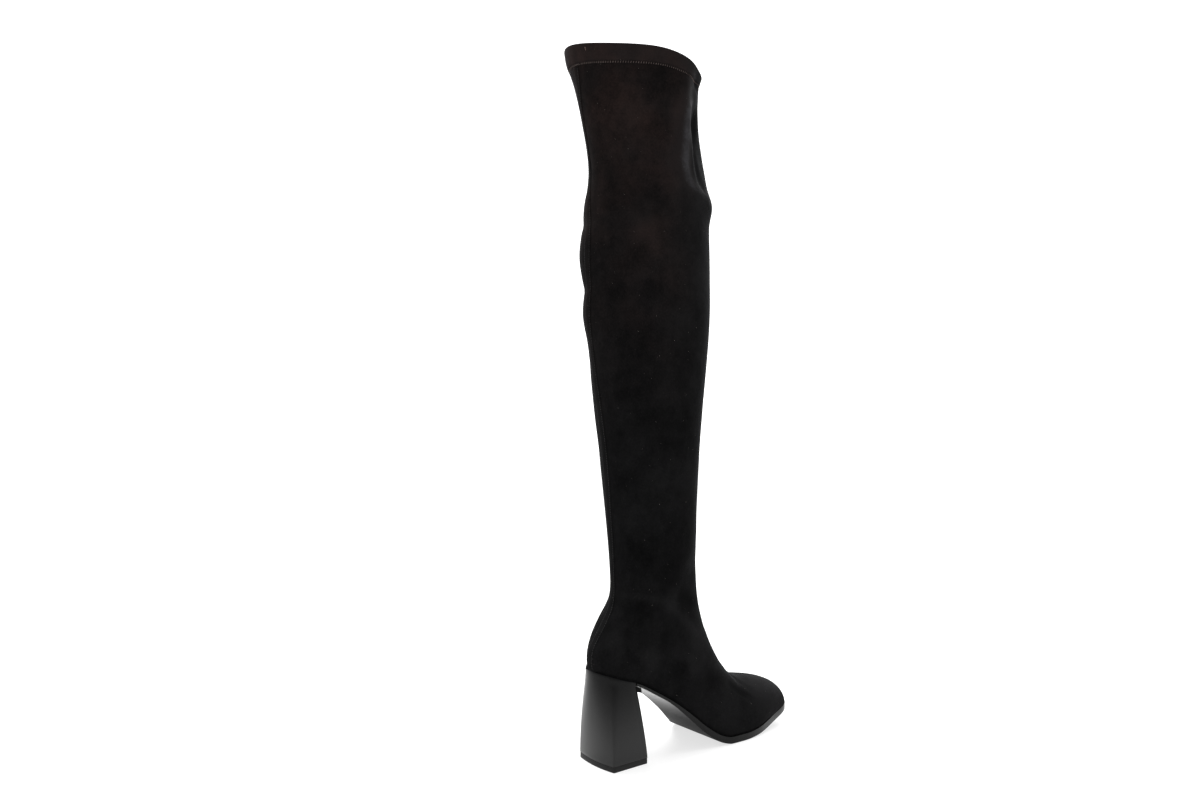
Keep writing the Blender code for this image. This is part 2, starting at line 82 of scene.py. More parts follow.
# Sections of the last, fanned from the toe to the collar. Each runs from a base on the feather edge, or on
# the back of the shaft where base_z is given, to a top on the ridge or the front of the shaft.
SECTION_COLUMNS = ("base_x", "base_z", "top_x", "top_z", "outer", "inner", "widest", "roundness")
SECTION_ROWS = (
    (185, None, 209, None, 32.0, 32.5, 0.00, 4.4),
    (182, None, 211, 28, 33.0, 33.6, 0.10, 3.4),
    (177, None, 208.5, 35.5, 34.2, 34.8, 0.16, 2.8),
    (170, None, 201, 42, 35.6, 36.4, 0.20, 2.5),
    (160, None, 188, 46.5, 37.8, 39.0, 0.22, 2.4),
    (148, None, 172, 50, 39.4, 41.4, 0.22, 2.3),
    (134, None, 156, 53.5, 39.8, 41.8, 0.22, 2.2),
    (118, None, 141, 61.5, 38.8, 40.8, 0.22, 2.1),
    (101, None, 128, 76, 36.6, 37.6, 0.24, 2.0),
    (82, None, 119, 90.5, 34.2, 33.0, 0.28, 2.0),
    (62, None, 112.3, 103.5, 32.8, 30.2, 0.32, 2.0),
    (42, None, 107, 115.5, 32.2, 30.0, 0.36, 2.0),
    (22, None, 103.2, 126, 32.2, 30.6, 0.40, 2.0),
    (4, None, 100.5, 136, 32.2, 31.2, 0.42, 2.0),
    (-8, None, 99.2, 143, 32.2, 31.4, 0.43, 2.0),
    (-16, None, 98.3, 149, 32.2, 31.5, 0.44, 2.0),
    (-21.5, None, 97.7, 155, 32.2, 31.6, 0.45, 2.0),
    (-24.2, None, 97.2, 160.5, 32.2, 31.7, 0.46, 2.0),
    (-25, None, 97, 166, 32.2, 31.8, 0.46, 2.0),
    (-26, 96, 96.7, 172.5, 32.2, 32.0, 0.46, 2.0),
    (-23.4, 106, 96.4, 180, 32.4, 32.2, 0.46, 2.0),
    (-15.5, 117, 96.2, 187.5, 32.6, 32.4, 0.47, 2.0),
    (-6, 128, 96.1, 195, 32.8, 32.6, 0.48, 2.0),
    (1.5, 139, 96, 203, 33.2, 33.0, 0.49, 2.0),
    (5, 152, 96, 212, 33.8, 33.6, 0.50, 2.0),
    (5.5, 170, 96, 224, 35.0, 35.0, 0.50, 2.0),
    (4, 196, 96, 242, 37.0, 37.0, 0.50, 2.0),
    (0.5, 230, 96.5, 268, 39.8, 39.8, 0.50, 2.0),
    (-4.5, 275, 97.6, 304, 43.6, 43.6, 0.50, 2.0),
    (-11.5, 335, 100.6, 350, 49.0, 49.0, 0.50, 2.0),
    (-15, 390, 105, 400, 52.0, 52.0, 0.50, 2.0),
    (-15, 440, 105.8, 446, 52.4, 52.4, 0.50, 2.0),
    (-15, 490, 105, 492, 52.2, 52.2, 0.50, 2.0),
    (-15, 540, 102.5, 538, 50.6, 50.6, 0.50, 2.0),
    (-18.8, 572, 97.4, 568, 50.0, 50.0, 0.50, 2.0),
    (-27, 607, 92, 599, 52.0, 52.0, 0.50, 2.0),
    (-35.5, 639, 91.5, 627, 57.0, 57.0, 0.50, 2.0),
    (-40.5, 657.5, 93, 645.5, 60.5, 60.5, 0.50, 2.0),
)
HEEL_SECTION = 18  # the first section that closes at the back
KNEE_SECTION = 30
HEM_SECTION = 36
COLLAR_SECTION = len(SECTION_ROWS) - 1

# How far the middle of the back strip is to the inner side of the back, by height.
STRIP_COLUMNS = ("height", "drift")
STRIP_ROWS = ((85, 0), (120, 4.5), (330, 7), (400, 16), (475, 14.5), (600, 20), (645, 8))

# Where the hem's lower edge is drawn up: degrees from the front, rise and half-angle.
HEM_LIFT_ROWS = ((28, 9.0, 30), (85, 2.2, 45))


class Side(Enum):
    """A side of the foot, with its direction along Y."""

    OUTER = -1
    INNER = 1

    @property
    def column(self) -> str:
        """Name of the side's column in the tables."""
        return self.name.lower()


class TableCurve:
    """A curve without kinks through one column of a table."""

    def __init__(self, stations: Sequence[float], values: Sequence[float]) -> None:
        """Keeps the column's values and the slopes between them.

        Args:
            stations: Where along the table each value is.
            values: The column's values.
        """
        self.stations = np.array(stations, float)
        self.values = np.array(values, float)
        self.slopes = np.gradient(self.values, self.stations)

    def __call__(self, station: np.ndarray | float) -> np.ndarray:
        """The value at a station.

        Args:
            station: One place along the table, or many.

        Returns:
            The value there.
        """
        place = np.clip(np.searchsorted(self.stations, station) - 1, 0, len(self.stations) - 2)
        step = self.stations[place + 1] - self.stations[place]
        t = np.clip((station - self.stations[place]) / step, 0.0, 1.0)
        rise = (self.values[place + 1] - self.values[place]) * t * t * (3 - 2 * t)
        start = t * (1 - t) ** 2 * step * self.slopes[place]
        end = t * t * (1 - t) * step * self.slopes[place + 1]
        return self.values[place] + rise + start - end


def curves_of(columns: Sequence[str], rows: Sequence[Sequence[float]]) -> dict[str, TableCurve]:
    """Curves through a table.

    Args:
        columns: The columns' names; the first holds the stations.
        rows: The table's rows.

    Returns:
        One curve for each named column after the first.
    """
    stations = [row[0] for row in rows]
    return {name: TableCurve(stations, [row[i] for row in rows]) for i, name in enumerate(columns) if i}


def evenly(path: np.ndarray, count: int) -> np.ndarray:
    """Points spaced evenly along a path.

    Args:
        path: The path's points.
        count: How many points to return.

    Returns:
        That many points from one end of the path to the other.
    """
    length = lengths_along(path)
    even = np.linspace(0, length[-1], count)
    return np.stack([np.interp(even, length, path[:, axis]) for axis in range(3)], axis=1)


def lengths_along(path: np.ndarray) -> np.ndarray:
    """Length of a path up to each of its points."""
    return np.concatenate(([0.0], np.cumsum(np.linalg.norm(np.diff(path, axis=0), axis=1))))


def unit(vectors: np.ndarray) -> np.ndarray:
    """The vectors at unit length."""
    return vectors / np.linalg.norm(vectors, axis=-1, keepdims=True)


def soft_step(value: np.ndarray | float, low: float, high: float) -> np.ndarray:
    """0 up to low, 1 from high, and a smooth rise between them."""
    t = np.clip((value - low) / (high - low), 0.0, 1.0)
    return t * t * (3 - 2 * t)


@dataclass
class Last:
    """The last that the upper is drawn over, and the outline of its sole."""

    gap: float = 0.3
    toe_tip: float = 209.0
    toe_end: float = 24.0
    toe_squareness: float = 4.4
    heel_back: float = -25.0
    heel_end: float = 28.0
    heel_roundness: float = 2.0
    collar_tilt: float = 0.11
    collar_waves: int = 3
    collar_wave: float = 2.3
    collar_wave_crest: float = 93.0
    hem_drawn: float = 1.5  # sections drawn up with the hem's lower edge
    arch_samples: int = 260
    bottom: dict[str, TableCurve] = field(init=False)
    section: dict[str, TableCurve] = field(init=False)

    def __post_init__(self) -> None:
        """Makes the curves of the bottom and of the sections."""
        self.bottom = curves_of(LAST_COLUMNS, LAST_ROWS)
        rows = []
        for base_x, base_z, top_x, top_z, *shape in SECTION_ROWS:
            low = self.feather_height(base_x) + self.gap if base_z is None else base_z
            high = self.feather_height(top_x) + self.gap if top_z is None else top_z
            rows.append((len(rows), base_x, low, top_x, high, *shape))
        self.section = curves_of(("row",) + SECTION_COLUMNS, rows)

    def sole_underside(self, x: np.ndarray | float) -> np.ndarray:
        """Height of the sole's underside at x, never below the floor."""
        return np.maximum(0.0, self.bottom["underside"](x))

    def feather_height(self, x: np.ndarray | float) -> np.ndarray:
        """Height of the sole's top at x."""
        return self.sole_underside(x) + self.bottom["sole"](x)

    def half_width(self, x: np.ndarray | float, side: Side) -> np.ndarray:
        """Half-width of the feather edge.

        Args:
            x: Place along the foot.
            side: Which side of the foot.

        Returns:
            The distance from the centre line, drawn in at the rounded heel and the squared toe.
        """
        toe = np.clip((x - (self.toe_tip - self.toe_end)) / self.toe_end, 0.0, 1.0)
        heel = np.clip((self.heel_back + self.heel_end - x) / self.heel_end, 0.0, 1.0)
        toe_share = (1 - toe**self.toe_squareness) ** (1 / self.toe_squareness)
        heel_share = (1 - heel**self.heel_roundness) ** (1 / self.heel_roundness)
        return self.bottom[side.column](x) * toe_share * heel_share

    def base(self, u: float) -> np.ndarray:
        """Lowest point of a section.

        Args:
            u: The section's row.

        Returns:
            The point, on the feather edge or on the back of the shaft.
        """
        x = self.section["base_x"](u)
        z = self.feather_height(x) + self.gap if u < HEEL_SECTION else self.section["base_z"](u)
        return np.array((x, 0.0, z))

    def top(self, u: float) -> np.ndarray:
        """Point of the section at row u on the ridge or the front of the shaft."""
        return np.array((self.section["top_x"](u), 0.0, self.section["top_z"](u)))

    def half_arch(self, u: float, side: Side) -> np.ndarray:
        """One side of a section.

        Args:
            u: The section's row.
            side: Which side of the foot.

        Returns:
            Points from the section's base to its top.
        """
        widest = self.section["widest"](u)
        power = 2 / self.section["roundness"](u)
        half = self.section[side.column](u)
        foot = self.half_width(self.section["base_x"](u), side) if u < HEEL_SECTION else 0.0
        start = math.acos(min(1.0, (foot / half) ** (1 / power)))
        drop = widest / math.sin(start) ** power if start > 0 else 0.0
        angle = np.linspace(-start, math.pi / 2, self.arch_samples)
        rise = np.abs(np.sin(angle)) ** power
        up = np.where(angle < 0, widest - drop * rise, widest + (1 - widest) * rise)
        points = self.base(u) + up[:, None] * (self.top(u) - self.base(u))
        points[:, 1] += side.value * half * np.maximum(np.cos(angle), 0.0) ** power
        return points

    def degrees_round(self, u: float, points: np.ndarray) -> np.ndarray:
        """Degrees round the leg from the front, positive to the outer side."""
        middle = (self.base(u) + self.top(u)) / 2
        return np.degrees(np.arctan2(-points[:, 1], points[:, 0] - middle[0]))

    def ring(self, u: float, columns: int) -> np.ndarray:
        """Points round a section.

        Args:
            u: The section's row.
            columns: How many spaces the points leave, half of them on each side.

        Returns:
            Points from the outer base over the top to the inner base.
        """
        outer = evenly(self.half_arch(u, Side.OUTER), columns // 2 + 1)
        inner = evenly(self.half_arch(u, Side.INNER), columns // 2 + 1)
        points = np.concatenate((outer, inner[-2::-1]))
        share = max(0.0, (u - KNEE_SECTION) / (COLLAR_SECTION - KNEE_SECTION)) ** 2
        degrees = self.degrees_round(u, points)
        turn = self.collar_waves * (degrees - self.collar_wave_crest)
        wave = self.collar_wave * np.cos(np.radians(turn))
        points[:, 2] += share * (self.collar_tilt * points[:, 1] + wave) + self.hem_lift(u, degrees)
        return points

    def hem_lift(self, u: float, degrees: np.ndarray) -> np.ndarray:
        """How far the hem's lower edge is drawn up.

        Args:
            u: The section's row.
            degrees: The points' degrees from the front, positive to the outer side.

        Returns:
            The rise of each point, none at the collar and further down the shaft.
        """
        below = soft_step(u, HEM_SECTION - self.hem_drawn, HEM_SECTION)
        rise = np.zeros(len(degrees))
        for around, most, half_angle in HEM_LIFT_ROWS:
            turn = (degrees - around + 180) % 360 - 180
            rise += most * np.exp(-((turn / half_angle) ** 2))
        return below * (1 - max(0.0, u - HEM_SECTION)) * rise

    def rows(self, first: int, last: int, pitch: float) -> list[float]:
        """Mesh rows from one section to another.

        Args:
            first: The section that they start from.
            last: The section that they end on.
            pitch: Greatest distance between two rows.

        Returns:
            Row numbers, with fractions between the sections.
        """
        found = [float(first)]
        for number in range(first, last):
            travel = max(
                np.linalg.norm(self.base(number + 1) - self.base(number)),
                np.linalg.norm(self.top(number + 1) - self.top(number)),
            )
            steps = math.ceil(travel / pitch)
            found += [number + (step + 1) / steps for step in range(steps)]
        return found

    def outline_stations(self, heel_steps: int, waist_steps: int, toe_steps: int) -> np.ndarray:
        """Stations from the heel's back to the toe's tip, closer together round the two ends.

        Args:
            heel_steps: Spaces round the heel end.
            waist_steps: Spaces between the two ends.
            toe_steps: Spaces round the toe end.

        Returns:
            Places along the foot.
        """
        quarter = np.linspace(0, math.pi / 2, heel_steps + 1)
        heel = self.heel_back + self.heel_end * (1 - np.cos(quarter))
        waist = np.linspace(heel[-1], self.toe_tip - self.toe_end, waist_steps + 1)
        quarter = np.linspace(0, math.pi / 2, toe_steps + 1)
        toe = self.toe_tip - self.toe_end * (1 - np.sin(quarter) ** (2 / self.toe_squareness))
        return np.concatenate((heel, waist[1:], toe[1:]))

    def outline(self, side: Side, stations: np.ndarray, inset: float) -> np.ndarray:
        """One side of the sole's outline in plan.

        Args:
            side: Which side of the foot.
            stations: Places along the foot.
            inset: How far the outline is moved inwards.

        Returns:
            X and Y of each point.
        """
        path = np.stack((stations, side.value * self.half_width(stations, side)), axis=1)
        along = np.gradient(path, axis=0)
        along[0] = (0, side.value) if stations[0] <= self.heel_back else (1, 0)
        along[-1] = (0, -side.value)
        inwards = side.value * np.stack((along[:, 1], -along[:, 0]), axis=1)
        return path + inset * unit(inwards)


@dataclass(frozen=True)
class Fold:
    """A soft bulge or hollow of the slack shaft, placed by height and by degrees from the front."""

    height: float
    around: float
    out: float
    half_height: float
    half_angle: float

    def push(self, heights: np.ndarray, degrees: np.ndarray) -> np.ndarray:
        """How far the fold moves points outwards.

        Args:
            heights: The points' heights.
            degrees: The points' degrees from the front, positive to the outer side.

        Returns:
            The move of each point.
        """
        turn = (degrees - self.around + 180) % 360 - 180
        away = ((heights - self.height) / self.half_height) ** 2 + (turn / self.half_angle) ** 2
        return self.out * np.exp(-away)


FOLDS = (
    Fold(height=474, around=-140, out=8.8, half_height=34, half_angle=32),
    Fold(height=416, around=-140, out=4.4, half_height=20, half_angle=30),
    Fold(height=520, around=-140, out=4.0, half_height=20, half_angle=30),
    Fold(height=520, around=36, out=4.2, half_height=13, half_angle=24),
    Fold(height=596, around=52, out=-5.0, half_height=45, half_angle=15),
    Fold(height=590, around=76, out=2.0, half_height=50, half_angle=13),
    Fold(height=652, around=-155, out=2.0, half_height=14, half_angle=40),
)


@dataclass(frozen=True)
class Crease:
    """A soft trough or ridge along a line on the boot, with low shoulders on both sides, and painted light
    along it.
    """

    route: tuple[Triple, ...]
    rise: float
    half_width: float
    shade: float = 0.0  # how much lighter it is painted along it, as a painted highlight; below 0, darker as painted shade
    spread: float = 1.0  # width of the painted highlight and shade, in the crease's own width
    shoulder: float = 0.7
    pitch: float = 2.0
    end_share: float = 0.04  # of its length, where it has faded as far as it does

    def trace(self, points: np.ndarray) -> tuple[np.ndarray, np.ndarray]:
        """Where points are from the crease.

        Args:
            points: Points of the boot's face, in a flat list.

        Returns:
            The square of each point's distance in half-widths, and how strong the crease is beside it.
        """
        laid = np.array([points[np.argmin(np.sum((points - place) ** 2, axis=1))] for place in self.route])
        count = max(3, int(lengths_along(laid)[-1] / self.pitch))
        line = evenly(smoothed(laid), count)
        far = np.full(len(points), np.inf)
        share = np.zeros(len(points))
        for i, place in enumerate(line):
            distance = np.sum((points - place) ** 2, axis=1)
            nearer = distance < far
            far[nearer] = distance[nearer]
            share[nearer] = i / (count - 1)
        taper = np.sqrt(np.sin(np.pi * np.clip(share, self.end_share, 1 - self.end_share)))
        return far / self.half_width**2, taper

    def push(self, away: np.ndarray, taper: np.ndarray) -> np.ndarray:
        """How far the crease moves points outwards, from their trace."""
        return self.rise * taper * (1 - self.shoulder * away) * np.exp(-away)

    def tint(self, away: np.ndarray, taper: np.ndarray) -> np.ndarray:
        """How much lighter points are painted, from their trace: a painted highlight, and painted shade
        where the shade is below 0.
        """
        return self.shade * taper * np.exp(-away / self.spread**2)


def smoothed(path: np.ndarray, rounds: int = 3, cut: float = 0.25) -> np.ndarray:
    """Cuts off a path's corners a few times.

    Args:
        path: The path's points.
        rounds: How many times its corners are cut.
        cut: Where along each stretch a cut meets it, from either end.

    Returns:
        The smooth path, from the same start to the same end.
    """
    for _ in range(rounds):
        near = (1 - cut) * path[:-1] + cut * path[1:]
        far = cut * path[:-1] + (1 - cut) * path[1:]
        middle = np.stack((near, far), axis=1).reshape(-1, 3)
        path = np.concatenate((path[:1], middle, path[-1:]))
    return path


# A crease with a shade paints light into the suede's layer: painted highlights on ridges and painted shade
# in hollows and bends.
CREASES = (
    # Fold down the front of the thigh: a ridge with a painted highlight, a broad painted highlight beside
    # it, and the hollow between it and the front, with painted shade.
    Crease(((70, -39, 622), (52, -49, 604), (45, -51, 584), (44, -51, 564), (45, -52, 548), (50, -52, 536),
            (62, -49, 529), (80, -43, 524)), rise=2.4, half_width=6.5, shade=1.2, spread=0.8),
    Crease(((77, -34, 614), (70, -38, 598), (64, -43, 580), (62, -45, 562), (64, -46, 547), (74, -43, 536)),
           rise=-2.6, half_width=6.5, shade=-0.12),
    Crease(((58, -47, 612), (40, -52, 596), (36, -52, 575), (36, -52, 555), (38, -53, 540)), rise=0.0,
           half_width=13.0, shade=0.45, shoulder=0.0),
    Crease(((60, -48, 634), (69, -42, 630), (77, -36, 626)), rise=-1.6, half_width=6.0),
    Crease(((20, -55, 618), (24, -53, 600), (27, -50, 580), (28, -49, 556)), rise=-0.8, half_width=12.0),
    # Slack cloth that stands out a little behind the knee and down the front.
    Crease(((-16, 30, 512), (-18, 32, 470), (-16, 32, 420), (-14, 30, 362)), rise=2.0, half_width=22.0,
           shoulder=0.0),
    Crease(((98, -20, 590), (104, -22, 530), (106, -20, 470), (104, -20, 400), (98, -18, 325)), rise=1.5,
           half_width=24.0, shoulder=0.0),
    Crease(((94, -14, 205), (95, -14, 180), (97, -14, 158), (100, -12, 138), (110, -10, 112)), rise=2.1,
           half_width=14.0, shoulder=0.0),
    Crease(((0, 18, 265), (6, 18, 215), (7, 16, 170), (2, 12, 140)), rise=0.9, half_width=18.0,
           shoulder=0.0),
    # Counter, drawn in a little towards the heel seat.
    Crease(((-4, 14, 132), (-16, 14, 116), (-22, 12, 103), (-22, 12, 88)), rise=-1.0, half_width=14.0,
           shoulder=0.0),
    # Valleys between the bulges behind the knee.
    Crease(((-16, 8, 503), (-10, 26, 502), (2, 40, 497)), rise=-1.0, half_width=7.0),
    Crease(((-17, 6, 440), (-12, 24, 441), (0, 40, 437)), rise=-0.9, half_width=8.0),
    # Bend of the ankle, outer side.
    Crease(((82, -18, 141), (71, -26, 142), (60, -29, 149)), rise=-1.4, half_width=7.0, shade=-0.4),
    Crease(((37, -32, 148), (51, -31, 137), (63, -29, 127), (80, -27, 111)), rise=0.9, half_width=7.0,
           shade=0.24, spread=0.7),
    Crease(((7, -6, 153), (13, -20, 153), (25, -29, 151), (38, -33, 149)), rise=0.7, half_width=2.6,
           shade=0.28),
    Crease(((8, -14, 148), (15, -27, 141), (24, -31, 134)), rise=-0.6, half_width=6.0, shade=-0.06),
    # Bend of the ankle, inner side.
    Crease(((84, 16, 141), (71, 26, 142), (60, 29, 149)), rise=-1.4, half_width=8.0, shade=-0.2),
    Crease(((40, 32, 146), (54, 31, 134), (66, 29, 124)), rise=0.8, half_width=8.0, shade=0.12),
    # Instep and vamp.
    Crease(((88, -30, 82), (104, -28, 74), (124, -23, 65)), rise=0.6, half_width=7.0, shade=0.12),
    Crease(((130, -18, 62), (134, -23, 55), (138, -27, 49)), rise=0.8, half_width=3.2, shade=0.4),
    Crease(((126, -29, 53), (142, -32, 43), (153, -36, 34)), rise=-1.2, half_width=5.0, shade=-0.14),
    Crease(((140, -14, 57), (148, -22, 47), (157, -28, 38)), rise=-0.7, half_width=4.0, shade=-0.12),
    Crease(((132, -20, 59), (135, -8, 66), (136, 6, 66), (134, 18, 61)), rise=-1.1, half_width=4.0),
    Crease(((132, 20, 59), (140, 28, 47), (150, 36, 34)), rise=-0.7, half_width=6.0),
)


@dataclass(frozen=True)
class NapAndLightPatch:
    """A soft patch painted lighter or darker than around it: partly nap that lies differently, partly
    painted light.
    """

    centre: Triple
    radius: float
    shade: float

    def tint(self, points: np.ndarray) -> np.ndarray:
        """The patch's share of the shade at each point."""
        away = np.sum((points - self.centre) ** 2, axis=1) / self.radius**2
        return self.shade * np.exp(-away)


# Most patches are nap that lies lighter or darker; some are painted light, by the thigh's front ridge, on
# the vamp's top and on the toe.
NAP_AND_LIGHT_PATCHES = (
    NapAndLightPatch((-9, -35, 596), 24, 0.30),
    NapAndLightPatch((-13, -17, 562), 18, 0.10),
    NapAndLightPatch((19, -48, 581), 16, -0.22),
    NapAndLightPatch((30, -50, 515), 40, 0.16),
    NapAndLightPatch((26, -49, 514), 18, -0.06),
    # Painted highlight that widens the thigh's front ridge towards the hem.
    NapAndLightPatch((54, -49, 630), 9, 0.45),
    NapAndLightPatch((54, -48, 610), 14, 0.5),
    NapAndLightPatch((46, -51, 598), 15, 0.2),
    NapAndLightPatch((30, -52, 455), 42, 0.14),
    NapAndLightPatch((4, -38, 485), 14, 0.18),
    NapAndLightPatch((3, -37, 466), 10, -0.22),
    NapAndLightPatch((2, -36, 449), 11, 0.12),
    NapAndLightPatch((12, -43, 439), 11, -0.20),
    NapAndLightPatch((-10, -20, 432), 10, -0.15),
    NapAndLightPatch((30, -50, 399), 18, 0.10),
    NapAndLightPatch((25, -46, 340), 14, 0.10),
    NapAndLightPatch((13, -39, 321), 14, -0.15),
    NapAndLightPatch((52, -46, 316), 10, -0.12),
    NapAndLightPatch((41, -42, 270), 16, 0.10),
    NapAndLightPatch((1, -15, 262), 13, -0.16),
    NapAndLightPatch((21, -35, 258), 12, 0.10),
    NapAndLightPatch((50, -45, 300), 60, -0.06),
    NapAndLightPatch((55, -32, 172), 42, -0.12),
    NapAndLightPatch((12, -20, 197), 16, -0.12),
    NapAndLightPatch((11, -21, 145), 11, -0.06),
    NapAndLightPatch((-10, -2, 123), 10, -0.20),
    NapAndLightPatch((47, -31, 147), 9, 0.22),
    NapAndLightPatch((-8, -22, 114), 11, 0.28),
    NapAndLightPatch((-2, -26, 105), 8, -0.16),
    NapAndLightPatch((20, -31, 99), 11, 0.28),
    NapAndLightPatch((35, -32, 111), 12, -0.16),
    NapAndLightPatch((77, -29, 113), 12, 0.15),
    NapAndLightPatch((86, -27, 101), 16, 0.26),
    NapAndLightPatch((58, -32, 82), 8, -0.20),
    NapAndLightPatch((62, -33, 95), 9, 0.20),
    NapAndLightPatch((73, -33, 79), 7, 0.24),
    NapAndLightPatch((98, -33, 66), 9, -0.16),
    NapAndLightPatch((120, -18, 72), 10, 0.26),
    NapAndLightPatch((112, -38, 42), 22, 0.14),
    NapAndLightPatch((125, -36, 36), 12, 0.14),
    NapAndLightPatch((136, -35, 38), 8, -0.14),
    # Painted light on the vamp's top and the toe, which face the lamps above.
    NapAndLightPatch((162, -29, 42), 14, 0.16),
    NapAndLightPatch((150, -6, 52), 18, 0.12),
    NapAndLightPatch((188, -24, 34), 26, 0.95),
    NapAndLightPatch((192, 14, 34), 24, 0.2),
)


class Wire:
    """A node's output that takes part in sums; each sum adds a Math node."""

    def __init__(self, dyer: "Dyer", socket: bpy.types.NodeSocket) -> None:
        """Keeps the output and the material that it is in."""
        self.dyer = dyer
        self.socket = socket

    def _math(self, operation: str, first: "Wire | float", second: "Wire | float") -> "Wire":
        """A Math node on two values."""
        return self.dyer.node("ShaderNodeMath", {"operation": operation}, {0: first, 1: second})

    def __add__(self, other: "Wire | float") -> "Wire":
        """Self plus other."""
        return self._math("ADD", self, other)

    def __radd__(self, other: float) -> "Wire":
        """Other plus self."""
        return self._math("ADD", other, self)

    def __sub__(self, other: "Wire | float") -> "Wire":
        """Self minus other."""
        return self._math("SUBTRACT", self, other)

    def __rsub__(self, other: float) -> "Wire":
        """Other minus self."""
        return self._math("SUBTRACT", other, self)

    def __mul__(self, other: "Wire | float") -> "Wire":
        """Self times other."""
        return self._math("MULTIPLY", self, other)

    def __rmul__(self, other: float) -> "Wire":
        """Other times self."""
        return self._math("MULTIPLY", other, self)

    def step(self, low: float, high: float) -> "Wire":
        """0 at low, 1 at high, and a smooth rise or fall between them."""
        sockets = {"Value": self, "From Min": low, "From Max": high}
        return self.dyer.node("ShaderNodeMapRange", {"interpolation_type": "SMOOTHSTEP"}, sockets)


class Dyer:
    """Makes one material's nodes."""

    def __init__(self, name: str) -> None:
        """Starts a Principled material.

        Args:
            name: The material's name.
        """
        self.material = bpy.data.materials.new(name)
        self.material.use_nodes = True
        self.tree = self.material.node_tree
        self.shader = self.tree.nodes["Principled BSDF"]

    def node(
        self,
        kind: str,
        settings: dict[str, object],
        sockets: dict[str | int, object],
        output: str | int = 0,
    ) -> Wire:
        """Makes a node.

        Args:
            kind: The node's type.
            settings: Its own properties, set first.
            sockets: Values or links of its inputs.
            output: Which output is wanted.

        Returns:
            That output.
        """
        made = self.tree.nodes.new(kind)
        for name, value in settings.items():
            setattr(made, name, value)
        for name, value in sockets.items():
            self.feed(made.inputs[name], value)
        return Wire(self, made.outputs[output])

    def feed(self, socket: bpy.types.NodeSocket, value: object) -> None:
        """Sets an input, or links it.

        Args:
            socket: The input.
            value: A wire, a number, a colour or a vector.
        """
        if isinstance(value, Wire):
            self.tree.links.new(value.socket, socket)
        elif socket.type == "RGBA":
            socket.default_value = (*value, 1.0)
        else:
            socket.default_value = value

    def place(self) -> Wire:
        """Object coordinates, in metres."""
        return self.node("ShaderNodeTexCoord", {}, {}, "Object")

    def part(self, vector: Wire, axis: str) -> Wire:
        """One axis of a vector."""
        return self.node("ShaderNodeSeparateXYZ", {}, {"Vector": vector}, axis)

    def cloud(self, size: float, detail: float = 2.0, stretch: Triple = (1.0, 1.0, 1.0)) -> Wire:
        """Noise from 0 to 1.

        Args:
            size: Size of its clouds in millimetres.
            detail: How many finer layers it has.
            stretch: How many times finer it is along each axis.

        Returns:
            The noise.
        """
        spread = self.node("ShaderNodeMapping", {}, {"Vector": self.place(), "Scale": stretch})
        sockets = {"Vector": spread, "Scale": 1 / (size * MM), "Detail": detail, "Roughness": 0.55}
        return self.node("ShaderNodeTexNoise", {}, sockets, "Fac")

    def cell(self, size: float, output: str) -> Wire:
        """Scattered cells.

        Args:
            size: Size of the cells in millimetres.
            output: Distance to the cell's middle, or the cell's own random Color.

        Returns:
            That output.
        """
        sockets = {"Vector": self.place(), "Scale": 1 / (size * MM)}
        return self.node("ShaderNodeTexVoronoi", {"feature": "F1"}, sockets, output)

    def blend(self, share: Wire, first: "Wire | Colour", second: "Wire | Colour") -> Wire:
        """A mix of two colours.

        Args:
            share: 0 for the first colour, 1 for the second.
            first: The first colour.
            second: The second colour.

        Returns:
            The mixed colour.
        """
        settings = {"data_type": "RGBA", "clamp_factor": True}
        return self.node("ShaderNodeMix", settings, {0: share, 6: first, 7: second}, 2)

    def bump(self, height: Wire, depth: float, below: Wire | None = None) -> Wire:
        """A bumped normal.

        Args:
            height: Height from 0 to 1.
            depth: What a height of 1 is, in millimetres.
            below: A bumped normal that this one adds to.

        Returns:
            The normal.
        """
        sockets = {"Strength": 1.0, "Distance": depth * MM, "Height": height}
        if below is not None:
            sockets["Normal"] = below
        return self.node("ShaderNodeBump", {}, sockets)

    def finish(self, sockets: dict[str, object]) -> bpy.types.Material:
        """Sets the shader's inputs.

        Args:
            sockets: Values or links by input name.

        Returns:
            The finished material.
        """
        for name, value in sockets.items():
            self.feed(self.shader.inputs[name], value)
        return self.material


